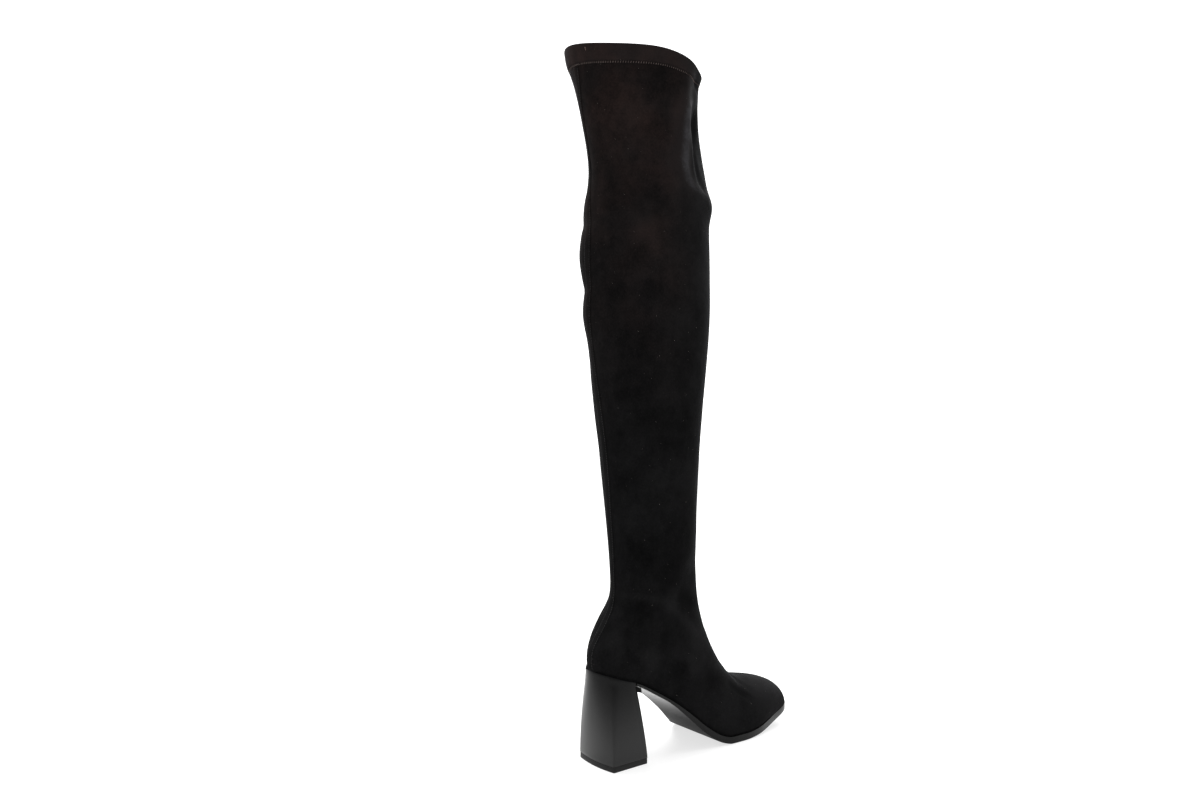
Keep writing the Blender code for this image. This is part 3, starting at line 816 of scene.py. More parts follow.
@dataclass(frozen=True)
class Suede:
    """Black suede: nap that lies lighter or darker in patches, painted highlights and shade from its vertex
    layer, a brown cast up the leg, and stray lint.
    """

    name: str = "black_suede"
    flat: Colour = (0.0024, 0.0024, 0.0025)
    raised: Colour = (0.0110, 0.0108, 0.0112)
    # painted highlight where the vertex layer runs high: along the thigh's front ridge and on the toe
    painted_highlight: Colour = (0.040, 0.039, 0.042)
    brown: Colour = (0.0240, 0.0155, 0.0142)
    brown_from: float = 250.0
    brown_to: float = 640.0
    brown_front: float = 70.0
    brown_back: float = 10.0
    lint: Colour = (0.30, 0.27, 0.25)
    lint_spacing: float = 5.0
    lint_free: float = 0.25
    lint_radius: float = 0.21
    fuzz: float = 0.035
    patches: bool = True
    broad_size: float = 46.0
    mottle_size: float = 9.0
    brush_size: float = 8.0
    brush_stretch: Triple = (1.0, 1.0, 0.22)
    grain_size: float = 1.5
    fibre_size: float = 0.5
    fibre_stretch: Triple = (1.0, 1.0, 0.35)
    nap_level: float = 0.42
    # values over which the colour turns to the painted highlight, and the size of the noise that breaks it
    # up
    highlight_from: float = 1.0
    highlight_to: float = 2.0
    highlight_break: float = 5.0
    warm_size: float = 38.0
    mottle_depth: float = 0.35
    fibre_depth: float = 0.12

    def material(self) -> bpy.types.Material:
        """Makes the material of this finish.

        Returns:
            The material.
        """
        dyer = Dyer(self.name)
        broad = dyer.cloud(self.broad_size, 3)
        mottle = dyer.cloud(self.mottle_size, 3)
        brushed = dyer.cloud(self.brush_size, 2, self.brush_stretch)
        grain = dyer.cloud(self.grain_size, 2)
        fibre = dyer.cloud(self.fibre_size, 2, self.fibre_stretch)
        uneven = 0.7 * (broad - 0.5) + 0.4 * (mottle - 0.5) + 0.2 * (brushed - 0.5) + 0.5 * (grain - 0.5)
        nap = self.nap_level + uneven
        if self.patches:
            # The vertex layer adds how the nap lies and painted highlights and shade.
            nap = nap + dyer.node("ShaderNodeAttribute", {"attribute_name": NAP_AND_LIGHT_LAYER}, {}, "Fac")
        up = dyer.part(dyer.place(), "Z").step(self.brown_from * MM, self.brown_to * MM)
        behind = dyer.part(dyer.place(), "X").step(self.brown_front * MM, self.brown_back * MM)
        warm = up * behind * (0.4 + 0.6 * dyer.cloud(self.warm_size, 2).step(0.3, 0.7))
        lit = dyer.blend(warm, self.raised, self.brown)
        colour = dyer.blend(nap.step(0.0, 1.0), self.flat, lit)
        # The painted highlight, broken up by noise.
        broken = 0.5 + 0.5 * dyer.cloud(self.highlight_break, 3).step(0.3, 0.7)
        colour = dyer.blend(nap.step(self.highlight_from, self.highlight_to) * broken, colour, self.painted_highlight)
        lottery = dyer.cell(self.lint_spacing, "Color")
        chosen = dyer.part(lottery, "X").step(self.lint_free, self.lint_free + 0.02)
        reach = self.lint_radius / self.lint_spacing
        speck = dyer.cell(self.lint_spacing, "Distance").step(reach, 0.6 * reach) * chosen
        colour = dyer.blend(speck * (0.3 + 0.7 * dyer.part(lottery, "Y")), colour, self.lint)
        normal = dyer.bump(fibre, self.fibre_depth, dyer.bump(mottle, self.mottle_depth))
        return dyer.finish(
            {
                "Base Color": colour,
                "Roughness": 0.8 + 0.18 * grain,
                "Specular IOR Level": 0.02,
                "Sheen Weight": self.fuzz,
                "Sheen Roughness": 0.25,
                "Sheen Tint": (0.92, 0.93, 1.0),
                "Normal": normal,
            }
        )


@dataclass(frozen=True)
class Knit:
    """Fine black knit with ribs along the leg, for the lining and the sock."""

    name: str
    dark: Colour
    light: Colour
    rib: float
    rib_stretch: Triple = (1.0, 1.0, 0.15)
    loop_share: float = 0.7  # size of a loop, of the rib's
    depth: float = 0.3

    def material(self) -> bpy.types.Material:
        """Makes the material of this finish.

        Returns:
            The material.
        """
        dyer = Dyer(self.name)
        rib = dyer.cloud(self.rib, 1, self.rib_stretch)
        loop = dyer.cloud(self.rib * self.loop_share, 1)
        colour = dyer.blend((0.6 * rib + 0.4 * loop).step(0.3, 0.7), self.dark, self.light)
        return dyer.finish(
            {
                "Base Color": colour,
                "Roughness": 0.85 + 0.1 * loop,
                "Specular IOR Level": 0.15,
                "Sheen Weight": 0.03,
                "Normal": dyer.bump(rib * loop, self.depth),
            }
        )


@dataclass(frozen=True)
class Thread:
    """Twisted sewing thread."""

    name: str
    dark: Colour
    light: Colour
    twist_size: float = 0.6
    twist_depth: float = 0.08
    wear_size: float = 14.0

    def material(self) -> bpy.types.Material:
        """Makes the material of this finish.

        Returns:
            The material.
        """
        dyer = Dyer(self.name)
        twist = dyer.cloud(self.twist_size, 1)
        wear = dyer.cloud(self.wear_size, 2)
        colour = dyer.blend((0.5 * twist + 0.5 * wear).step(0.3, 0.7), self.dark, self.light)
        sockets = {"Base Color": colour, "Roughness": 0.6 + 0.2 * twist, "Specular IOR Level": 0.25}
        return dyer.finish({**sockets, "Normal": dyer.bump(twist, self.twist_depth)})


@dataclass(frozen=True)
class Satin:
    """Black satin surface with faint streaks and lighter worn places, for heel, sole edge and tread."""

    name: str
    dark: Colour
    light: Colour
    rough: float
    shine: float
    streak: float
    grain_size: float
    grain_depth: float
    cloud_size: float = 16.0
    streak_stretch: Triple = (1.0, 1.0, 0.08)
    polish: float = 0.0  # a clear coat that fades along one axis
    polish_axis: str = "Z"
    polish_none: float = 78.0
    polish_full: float = 10.0
    polish_rough: float = 0.22

    def material(self) -> bpy.types.Material:
        """Makes the material of this finish.

        Returns:
            The material.
        """
        dyer = Dyer(self.name)
        cloud = dyer.cloud(self.cloud_size, 3)
        streak = dyer.cloud(self.streak, 2, self.streak_stretch)
        grain = dyer.cloud(self.grain_size, 2)
        colour = dyer.blend((0.6 * cloud + 0.4 * streak).step(0.3, 0.75), self.dark, self.light)
        rough = self.rough + 0.08 * (cloud - 0.5) + 0.06 * (streak - 0.5)
        sockets = {"Base Color": colour, "Roughness": rough, "Specular IOR Level": self.shine}
        if self.polish:
            along = dyer.part(dyer.place(), self.polish_axis)
            share = along.step(self.polish_none * MM, self.polish_full * MM)
            sockets |= {"Coat Weight": self.polish * share, "Coat Roughness": self.polish_rough}
        return dyer.finish({**sockets, "Normal": dyer.bump(grain, self.grain_depth)})


@dataclass(frozen=True)
class PalePaper:
    """Plain white paper that glows by its distance from the boot, so that it stays white in the picture."""

    name: str
    glow: tuple[tuple[float, float], ...]  # metres from the boot, and the glow there
    white: Colour = (0.8, 0.8, 0.8)

    def material(self) -> bpy.types.Material:
        """Makes the material of this finish.

        Returns:
            The material.
        """
        dyer = Dyer(self.name)
        distance = dyer.node("ShaderNodeVectorMath", {"operation": "LENGTH"}, {0: dyer.place()}, "Value")
        glow = self.glow[0][1]
        for (near, before), (far, after) in zip(self.glow, self.glow[1:]):
            glow = glow + (after - before) * distance.step(near, far)
        sockets = {"Base Color": self.white, "Roughness": 0.7, "Specular IOR Level": 0.2}
        return dyer.finish({**sockets, "Emission Color": glow, "Emission Strength": 1.0})


SUEDE = Suede()
# The strip's raised colour is a little lighter than the shaft's: painted sheen where the strip is seen at a
# grazing angle.
STRIP_SUEDE = Suede(name="black_suede_strip", patches=False, raised=(0.012, 0.0117, 0.012), fuzz=0.036)
LINING = Knit("black_lining", dark=(0.006, 0.006, 0.006), light=(0.018, 0.017, 0.017), rib=1.6)
SOCK = Knit("black_sock", dark=(0.008, 0.008, 0.008), light=(0.024, 0.023, 0.023), rib=2.2)
HEM_THREAD = Thread("brown_black_thread", dark=(0.035, 0.026, 0.023), light=(0.11, 0.085, 0.077))
STRIP_THREAD = Thread("grey_black_thread", dark=(0.010, 0.010, 0.010), light=(0.030, 0.029, 0.030))
TACK_THREAD = Thread("rust_thread", dark=(0.10, 0.06, 0.05), light=(0.20, 0.14, 0.12))
LACQUER = Satin("black_lacquer", (0.0020, 0.0020, 0.0021), (0.0036, 0.0036, 0.0037), rough=0.22,
                shine=0.125, streak=5.0, grain_size=0.7, grain_depth=0.012, polish=0.4)
HEEL_BREAST = Satin("black_heel_breast", (0.0020, 0.0020, 0.0020), (0.0032, 0.0032, 0.0032), rough=0.6,
                    shine=0.05, streak=4.0, grain_size=0.8, grain_depth=0.02)
SOLE_EDGE = Satin("black_sole_edge", (0.0040, 0.0040, 0.0041), (0.0080, 0.0079, 0.0079), rough=0.24,
                  shine=0.12, streak=3.0, grain_size=0.9, grain_depth=0.02, polish=0.7, polish_axis="X",
                  polish_none=130.0, polish_full=215.0)
SOLE_TREAD = Satin("black_sole_tread", (0.0060, 0.0060, 0.0062), (0.0120, 0.0118, 0.0118), rough=0.62,
                   shine=0.14, streak=4.0, grain_size=1.6, grain_depth=0.05, polish=1.0, polish_none=25.0,
                   polish_full=70.0, polish_rough=0.3)
LIFT_RUBBER = Satin("black_lift", (0.0038, 0.0038, 0.0038), (0.0076, 0.0074, 0.0073), rough=0.5,
                    shine=0.22, streak=4.0, grain_size=0.8, grain_depth=0.03)
FLOOR_PAPER = PalePaper("pale_floor", ((0.5, 0.7), (1.8, 0.8), (5.5, 0.8), (9.0, 0.33)), (0.4, 0.4, 0.4))
WALL_PAPER = PalePaper("pale_wall", ((6.2, 1.0), (9.0, 0.11)))


def grid_mesh(points: np.ndarray, layer: np.ndarray | None = None) -> bmesh.types.BMesh:
    """A sheet of quads.

    Args:
        points: Its vertices, by row and column.
        layer: A value for each vertex of how the nap lies and of painted light, if it has one.

    Returns:
        The sheet.
    """
    rows, columns = points.shape[:2]
    bm = bmesh.new()
    nap = bm.verts.layers.float.new(NAP_AND_LIGHT_LAYER) if layer is not None else None
    made = bmesh.ops.create_grid(bm, x_segments=columns - 1, y_segments=rows - 1, size=1.0)
    ordered = sorted(made["verts"], key=lambda vertex: (round(vertex.co.y, 6), vertex.co.x))
    for i, vertex in enumerate(ordered):
        vertex.co = points[i // columns, i % columns]
        if nap is not None:
            vertex[nap] = layer[i // columns, i % columns]
    return bm


def loft_mesh(rings: np.ndarray) -> bmesh.types.BMesh:
    """A closed body through rings of points.

    Args:
        rings: Points by ring and by place round it; an end that is drawn together closes by itself, and an
            end that is open is filled.

    Returns:
        The body, with its faces pointing out.
    """
    bm = grid_mesh(np.concatenate((rings, rings[:, :1]), axis=1))
    bmesh.ops.remove_doubles(bm, verts=bm.verts, dist=MERGE_DISTANCE)
    bmesh.ops.dissolve_degenerate(bm, edges=bm.edges, dist=MERGE_DISTANCE / 10)
    open_edges = [edge for edge in bm.edges if edge.is_boundary]
    if open_edges:
        bmesh.ops.holes_fill(bm, edges=open_edges, sides=0)
    bmesh.ops.recalc_face_normals(bm, faces=bm.faces)
    return bm


def soften_edges(bm: bmesh.types.BMesh, angle: float, radius: float, segments: int) -> None:
    """Rounds a body's sharp edges.

    Args:
        bm: The body.
        angle: Degrees past which an edge is rounded.
        radius: How far the rounding reaches from the edge.
        segments: Faces across the rounding.
    """
    sharp = [edge for edge in bm.edges if len(edge.link_faces) == 2
             and edge.calc_face_angle() > math.radians(angle)]
    bmesh.ops.bevel(bm, geom=sharp, offset=radius, offset_type="OFFSET", segments=segments, profile=0.5,
                    affect="EDGES", material=-1, clamp_overlap=True)


def piece_of(
    name: str, bm: bmesh.types.BMesh, materials: Sequence[bpy.types.Material], slot: str, *nodes: str
) -> bpy.types.Object:
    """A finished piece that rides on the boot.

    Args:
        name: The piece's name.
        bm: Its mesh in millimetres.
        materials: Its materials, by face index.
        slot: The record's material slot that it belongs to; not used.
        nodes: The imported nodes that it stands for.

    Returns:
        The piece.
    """
    bmesh.ops.scale(bm, vec=(MM, MM, MM), verts=bm.verts)
    mesh = bpy.data.meshes.new(name)
    bm.to_mesh(mesh)
    bm.free()
    mesh.shade_smooth()
    mesh.set_sharp_from_angle(angle=math.radians(SHARP_EDGE))
    for material in materials:
        mesh.materials.append(material)
    piece = bpy.data.objects.new(name, mesh)
    bpy.context.scene.collection.objects.link(piece)
    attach(piece, ROOT)
    if nodes:
        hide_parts(*nodes)
    return piece


@dataclass
class Upper:
    """The suede shell of vamp and shaft, with its turned hem, its folds and its lining."""

    last: Last
    wall: float = 1.6
    hem_wall: float = 2.8
    hem_step: float = 0.6
    stitch_height: float = 1.0  # of the hem's sewing above the hem section
    stitch_groove: float = 0.4
    groove_width: float = 1.3
    hem_slope: float = 3.0
    hem_rows: tuple[float, ...] = (
        -4.4, -3.6, -2.8, -2, -1.2, -0.6, 0, 0.5, 1, 1.5, 2, 2.6, 3.4, 4.4, 6, 8.5, 11, 13.5, 15.6
    )
    rim_steps: int = 8
    columns: int = 144
    pitch: float = 3.6
    lump: float = 0.35
    lump_size: float = 38.0
    # how much lighter the hem band is painted
    hem_lightening: float = 0.34
    # painted shade in the crevice where the upper meets the sole
    feather_painted_shade: float = -0.4
    feather_columns: float = 1.5  # how far the painted shade in the crevice along the sole reaches up the sides
    feather_rows: float = 0.4  # and up the toe, in sections
    held_columns: float = 8.0  # columns beside the sole that are held flat
    held_rows: float = 1.5  # sections at the toe that are held flat
    row_clearance: float = 0.05  # sections between the shaft's last row and the hem's first
    rows: np.ndarray = field(init=False)
    face: np.ndarray = field(init=False)
    out: np.ndarray = field(init=False)
    # how the nap lies at each point, with painted highlights and painted shade
    nap: np.ndarray = field(init=False)

    def __post_init__(self) -> None:
        """Works out the outer face, the directions that point out of it, and how its nap lies, with painted
        highlights and painted shade.
        """
        hem = [HEM_SECTION + height / self.hem_height() for height in self.hem_rows]
        below = [u for u in self.last.rows(0, HEM_SECTION, self.pitch) if u < hem[0] - self.row_clearance]
        end = COLLAR_SECTION - self.hem_wall / 2 / self.hem_height()
        self.rows = np.array([*below, *hem, end])
        self.face = np.stack([self.last.ring(u, self.columns) for u in self.rows])
        self.out = self.outward(self.face)
        self.shift(np.stack([self.folds(u, ring) for u, ring in zip(self.rows, self.face)]))
        flat = self.face.reshape(-1, 3)
        traces = [crease.trace(flat) for crease in CREASES]
        move = sum(crease.push(*trace) for crease, trace in zip(CREASES, traces)) + self.lumps(flat)
        nap = sum(crease.tint(*trace) for crease, trace in zip(CREASES, traces))
        nap += sum(patch.tint(flat) for patch in NAP_AND_LIGHT_PATCHES)
        # The turned hem band is painted lighter.
        over = self.height_over_hem(self.rows) - self.stitch_height
        turned = self.hem_lightening * soft_step(over, 0.0, self.hem_slope)
        self.nap = nap.reshape(self.face.shape[:2]) + turned[:, None] + self.feather_shade()
        self.shift(move.reshape(self.face.shape[:2]) * self.freedom())
        self.shift(np.array([self.hem_profile(u) for u in self.rows])[:, None])

    def hem_height(self) -> float:
        """Height from the hem section to the collar."""
        return float(self.last.section["base_z"](COLLAR_SECTION) - self.last.section["base_z"](HEM_SECTION))

    def height_over_hem(self, u: np.ndarray | float) -> np.ndarray | float:
        """Height of row u above the hem section."""
        return (u - HEM_SECTION) * self.hem_height()

    def outward(self, face: np.ndarray) -> np.ndarray:
        """Directions that point out of a face.

        Args:
            face: Points by row and column.

        Returns:
            A unit direction for each point.
        """
        across = np.gradient(face, axis=1)
        closed = self.rows >= HEEL_SECTION
        across[closed, 0] = across[closed, -1] = face[closed, 1] - face[closed, -2]
        along = np.gradient(face, axis=0)
        return unit(np.cross(across, along))

    def shift(self, move: np.ndarray) -> None:
        """Moves the face outwards by a distance for each point, and works out its directions again."""
        self.face = self.face + self.out * move[..., None]
        self.out = self.outward(self.face)

    def folds(self, u: float, ring: np.ndarray) -> np.ndarray:
        """How far the shaft's soft folds push one ring out.

        Args:
            u: The ring's row.
            ring: Its points.

        Returns:
            The move of each point, none on the foot.
        """
        if u <= HEEL_SECTION:
            return np.zeros(len(ring))
        degrees = self.last.degrees_round(u, ring)
        return sum(fold.push(ring[:, 2], degrees) for fold in FOLDS)

    def lumps(self, points: np.ndarray) -> np.ndarray:
        """Slight unevenness of the slack fabric at each point."""
        return np.array([self.lump * noise.noise(Vector(point) / self.lump_size) for point in points])

    def from_feather(self) -> np.ndarray:
        """How many columns each column is from the nearer end of its row."""
        columns = np.arange(self.columns + 1)
        return np.minimum(columns, self.columns - columns)

    def freedom(self) -> np.ndarray:
        """How free each point is to crease.

        Returns:
            A share for each point, 0 along the sole and 1 away from it.
        """
        free = np.ones(self.face.shape[:2])
        free[self.rows < HEEL_SECTION] = np.clip(self.from_feather() / self.held_columns, 0.0, 1.0)
        free *= soft_step(self.rows, 0.0, self.held_rows)[:, None]
        return free

    def feather_shade(self) -> np.ndarray:
        """How much darker the crevice along the sole is painted, as painted shade where the upper meets the
        sole.

        Returns:
            The shade of each point.
        """
        on_sole = (self.rows < HEEL_SECTION)[:, None]
        sides = on_sole * np.exp(-((self.from_feather() / self.feather_columns) ** 2))
        toe = np.exp(-((self.rows / self.feather_rows) ** 2))[:, None]
        return self.feather_painted_shade * np.maximum(sides, toe)

    def hem_profile(self, u: float) -> float:
        """How far the hem stands out, with the groove that its sewing pulls in.

        Args:
            u: The row.

        Returns:
            The distance there.
        """
        over = self.height_over_hem(u) - self.stitch_height
        groove = self.stitch_groove * math.exp(-((over / self.groove_width) ** 2))
        return self.hem_step * float(soft_step(over, 0.0, self.hem_slope)) - groove

    def wall_at(self, u: float) -> float:
        """Thickness of the wall, which the hem's turning doubles.

        Args:
            u: The row.

        Returns:
            The thickness there.
        """
        over = self.height_over_hem(u) - self.stitch_height
        turned = float(soft_step(over, 0.0, self.hem_slope))
        return self.wall + turned * (self.hem_wall - self.wall)

    def rim(self) -> np.ndarray:
        """Rounds the edge of the collar.

        Returns:
            Rings over the edge, from the outer face to the inner.
        """
        radius = self.hem_wall / 2
        out = self.out[-1]
        up = unit(self.face[-1] - self.face[-3])
        middle = self.face[-1] - out * radius
        turns = np.linspace(0, math.pi, self.rim_steps + 1)[1:-1]
        return np.stack([middle + radius * (out * math.cos(turn) + up * math.sin(turn)) for turn in turns])

    def ring_at(self, u: float) -> tuple[np.ndarray, np.ndarray]:
        """The outer face at any row.

        Args:
            u: The row.

        Returns:
            The ring of points there and the directions that point out of them.
        """
        place = float(np.interp(u, self.rows, np.arange(len(self.rows))))
        low = min(int(place), len(self.rows) - 2)
        share = place - low
        ring = (1 - share) * self.face[low] + share * self.face[low + 1]
        out = (1 - share) * self.out[low] + share * self.out[low + 1]
        return ring, unit(out)

    def build(self) -> bpy.types.Object:
        """Makes the shell, closed at its lower edge.

        Returns:
            The piece.
        """
        walls = np.array([self.wall_at(u) for u in self.rows])
        inner = (self.face - self.out * walls[:, None, None])[::-1]
        rim = self.rim()
        points = np.concatenate((self.face, rim, inner))
        edge = np.repeat(self.nap[-1:], len(rim) + len(inner), axis=0)
        bm = grid_mesh(points, np.concatenate((self.nap, edge)))
        lined = len(self.face) + self.rim_steps + len(self.hem_rows)
        bm.faces.ensure_lookup_table()
        for i, face in enumerate(bm.faces):
            face.material_index = int(i // self.columns >= lined)
        bmesh.ops.remove_doubles(bm, verts=bm.verts, dist=MERGE_DISTANCE)
        bmesh.ops.bridge_loops(bm, edges=[edge for edge in bm.edges if edge.is_boundary])
        bmesh.ops.recalc_face_normals(bm, faces=bm.faces)
        materials = (SUEDE.material(), LINING.material())
        return piece_of("suede_upper", bm, materials, "suede", "upper")


@dataclass
class Stitching:
    """Stitches of one thread, as many small spindles in one mesh."""

    thickness: float = 0.55
    overlap: float = 0.25
    sides: int = 6
    rings: int = 4
    bm: bmesh.types.BMesh = field(default_factory=bmesh.new)

    def sew(self, start: np.ndarray, end: np.ndarray, out: np.ndarray) -> None:
        """Adds one stitch.

        Args:
            start: Where the thread comes out.
            end: Where it goes in.
            out: Direction that points out of the cloth.
        """
        along = Vector(end - start)
        across = Vector(out).cross(along).normalized()
        upward = along.cross(across).normalized()
        length = along.length + self.overlap
        half = self.thickness / 2
        axes = Matrix((across * half, upward * half, along.normalized() * length / 2)).transposed()
        place = Matrix.Translation(Vector((start + end) / 2)) @ axes.to_4x4()
        bmesh.ops.create_uvsphere(
            self.bm, u_segments=self.sides, v_segments=self.rings, radius=1.0, matrix=place
        )


@dataclass
class HemSewing:
    """The row of slanted stitches round the collar's hem, and the tack that ends the back seam."""

    upper: Upper
    height: float = 1.3
    pitch: float = 2.3
    slant: float = 0.4
    lift: float = 0.1
    thread: float = 0.75
    tack_thread: float = 0.8
    tack_column: int = 4
    tack_low: float = 11.5
    tack_high: float = 15.0
    tack_stitches: int = 2

    def build(self) -> list[bpy.types.Object]:
        """Sews the hem and the tack.

        Returns:
            The two pieces.
        """
        middle = self.upper.stitch_height
        low, out = self.route(middle - self.height / 2)
        high, _ = self.route(middle + self.height / 2)
        sewing = Stitching(thickness=self.thread)
        for i in range(len(low) - 1):
            sewing.sew(low[i], (1 - self.slant) * high[i] + self.slant * high[i + 1], out[i])
        hem = piece_of("hem_stitches", sewing.bm, (HEM_THREAD.material(),), "suede")
        tack = Stitching(thickness=self.tack_thread)
        heights = np.linspace(self.tack_low, self.tack_high, self.tack_stitches + 1)
        places = [self.spot(height) for height in heights]
        for (start, away), (end, _) in zip(places, places[1:]):
            tack.sew(start, end, away)
        return [hem, piece_of("seam_tack", tack.bm, (TACK_THREAD.material(),), "suede")]

    def row_at(self, height: float) -> float:
        """The row at a height above the hem section."""
        return HEM_SECTION + height / self.upper.hem_height()

    def route(self, height: float) -> tuple[np.ndarray, np.ndarray]:
        """Places round the hem at one height, a stitch apart, and the directions that point out there.

        Args:
            height: Height above the hem section.

        Returns:
            The places, the last on the first, and the directions.
        """
        ring, out = self.upper.ring_at(self.row_at(height))
        length = lengths_along(ring)
        even = np.linspace(0, length[-1], round(length[-1] / self.pitch) + 1)
        points = np.stack([np.interp(even, length, ring[:, axis]) for axis in range(3)], axis=1)
        outs = np.stack([np.interp(even, length, out[:, axis]) for axis in range(3)], axis=1)
        return points + outs * self.lift, outs

    def spot(self, height: float) -> tuple[np.ndarray, np.ndarray]:
        """Place and outward direction on the back seam at a height above the hem section."""
        ring, out = self.upper.ring_at(self.row_at(height))
        return ring[self.tack_column] + out[self.tack_column] * self.lift, out[self.tack_column]


@dataclass
class BackStrip:
    """The suede strip over the back seam, with a row of stitches near each edge."""

    upper: Upper
    width: float = 10.0
    thickness: float = 0.8
    edge_share: float = 0.2
    dome: int = 4  # how flat the strip's top is between its edges
    skived: float = 0.4  # share of the thickness left at the heel seat
    skived_from: float = 150.0
    skived_to: float = 110.0
    seat: float = 0.05
    steps: int = 8
    stitch_inset: float = 1.4
    stitch_pitch: float = 2.3
    stitch_length: float = 1.5
    thread: float = 0.6
    drift: TableCurve = field(init=False)

    def __post_init__(self) -> None:
        """Makes the curve that the strip winds along."""
        self.drift = curves_of(STRIP_COLUMNS, STRIP_ROWS)["drift"]

    def across(self, index: int, offsets: np.ndarray) -> tuple[np.ndarray, np.ndarray]:
        """Places across the strip on one row of the upper.

        Args:
            index: The upper's row.
            offsets: Distances from the strip's middle, positive to the outer side.

        Returns:
            The places on the upper's face and the directions that point out there.
        """
        half = self.upper.columns // 2
        ring, out = self.upper.face[index], self.upper.out[index]
        loop = np.concatenate((ring[half:-1], ring[:half]))
        loop_out = np.concatenate((out[half:-1], out[:half]))
        length = lengths_along(loop)
        places = length[half] - self.drift(ring[0, 2]) + offsets
        face = np.stack([np.interp(places, length, loop[:, axis]) for axis in range(3)], axis=1)
        away = np.stack([np.interp(places, length, loop_out[:, axis]) for axis in range(3)], axis=1)
        return face, unit(away)

    def covered_rows(self) -> np.ndarray:
        """The upper's rows that the strip covers, from the heel seat to the hem."""
        rows = self.upper.rows
        return np.flatnonzero((rows >= HEEL_SECTION) & (rows <= HEM_SECTION))

    def profile(self, offsets: np.ndarray, height: float) -> np.ndarray:
        """How far the strip's domed top stands off the upper.

        Args:
            offsets: Distances from the strip's middle.
            height: Height above the floor.

        Returns:
            The distance at each offset, less where the strip is skived thin at the heel.
        """
        bend = np.abs(2 * offsets / self.width) ** self.dome
        share = self.skived + (1 - self.skived) * soft_step(height, self.skived_to, self.skived_from)
        return self.seat + self.thickness * share * (1 - (1 - self.edge_share) * bend)

    def build(self) -> list[bpy.types.Object]:
        """Makes the strip and its stitches.

        Returns:
            The two pieces.
        """
        offsets = np.linspace(-self.width / 2, self.width / 2, self.steps + 1)
        rings = []
        for index in self.covered_rows():
            face, out = self.across(index, offsets)
            top = face + out * self.profile(offsets, face[0, 2])[:, None]
            seat = face + out * self.seat
            rings.append(np.concatenate((top, seat[::-1])))
        strip = piece_of("sewn_strip", loft_mesh(np.array(rings)), (STRIP_SUEDE.material(),), "suede_strip",
                         "back_strip")
        return [strip, self.sew()]

    def sew(self) -> bpy.types.Object:
        """Sews the strip down along both edges.

        Returns:
            The piece.
        """
        sewing = Stitching(thickness=self.thread)
        for side in Side:
            offset = np.array([-side.value * (self.width / 2 - self.stitch_inset)])
            found = [self.across(index, offset) for index in self.covered_rows()]
            line = np.array([face[0] + out[0] * self.profile(offset, face[0, 2]) for face, out in found])
            outs = np.array([out[0] for _, out in found])
            length = lengths_along(line)
            for begin in np.arange(self.stitch_pitch, length[-1] - self.stitch_pitch, self.stitch_pitch):
                ends = np.array((begin, begin + self.stitch_length))
                start, end = np.stack([np.interp(ends, length, line[:, axis]) for axis in range(3)], axis=1)
                out = np.array([np.interp(begin, length, outs[:, axis]) for axis in range(3)])
                sewing.sew(start, end, out)
        return piece_of("strip_stitches", sewing.bm, (STRIP_THREAD.material(),), "suede_strip")


@dataclass
class SoleSet:
    """The outsole under the upper and the sock board inside it."""

    last: Last
    sole_back: float = 7.3
    extension: float = 0.8
    lower_round: float = 1.2
    upper_round: float = 0.35
    round_steps: int = 4
    insole_thickness: float = 2.5
    insole_inset: float = 3.0
    insole_round: float = 0.8
    heel_steps: int = 24
    waist_steps: int = 84
    toe_steps: int = 26
    tread_facing: float = -0.6

    def slab(self, levels: Sequence[tuple[float, HeightCurve]], back: float) -> bmesh.types.BMesh:
        """A body with the sole's outline.

        Args:
            levels: From the lowest up, how far each is inside the feather edge and its height by place
                along the foot.
            back: Where along the foot the body starts.

        Returns:
            The body.
        """
        stations = self.last.outline_stations(self.heel_steps, self.waist_steps, self.toe_steps)
        stations = np.concatenate(([back], stations[stations > back]))
        sides = {}
        for side in Side:
            plans = [self.last.outline(side, stations, inset) for inset, _ in levels]
            sides[side] = [np.column_stack((plan, height(plan[:, 0])))
                           for plan, (_, height) in zip(plans, levels)]
        rings = np.stack([*sides[Side.OUTER], *sides[Side.INNER][::-1]], axis=1)
        end = rings[:1] * (1, 0, 1)
        return loft_mesh(np.concatenate((end, rings)))

    def rounding(self, edge: float, radius: float) -> list[tuple[float, float]]:
        """Insets and heights round a lower edge, from the flat underside to the upright side."""
        turns = np.linspace(0, math.pi / 2, self.round_steps + 1)
        return [(edge + radius * (1 - math.sin(turn)), radius * (1 - math.cos(turn))) for turn in turns]

    def outsole(self) -> bpy.types.Object:
        """Makes the sole from the heel's breast to the toe, thin at the waist and thick at the ball.

        Returns:
            The piece.
        """
        edge = -self.extension
        low = [(inset, lambda x, rise=rise: self.last.sole_underside(x) + rise)
               for inset, rise in self.rounding(edge, self.lower_round)]
        high = [(inset, lambda x, drop=drop: self.last.feather_height(x) - drop)
                for inset, drop in reversed(self.rounding(edge, self.upper_round))]
        bm = self.slab(low + high, self.sole_back)
        for face in bm.faces:
            face.material_index = int(face.normal.z < self.tread_facing)
        materials = (SOLE_EDGE.material(), SOLE_TREAD.material())
        return piece_of("edged_sole", bm, materials, "sole", "outsole")

    def insole(self) -> bpy.types.Object:
        """Makes the sock board on the sole, inside the upper.

        Returns:
            The piece.
        """
        floor = self.last.gap
        top = floor + self.insole_thickness
        high = [(inset, lambda x, drop=drop: self.last.feather_height(x) + top - drop)
                for inset, drop in reversed(self.rounding(self.insole_inset, self.insole_round))]
        low = [(self.insole_inset, lambda x: self.last.feather_height(x) + floor)]
        bm = self.slab(low + high, self.last.heel_back)
        return piece_of("sock_board", bm, (SOCK.material(),), "sock", "insole")


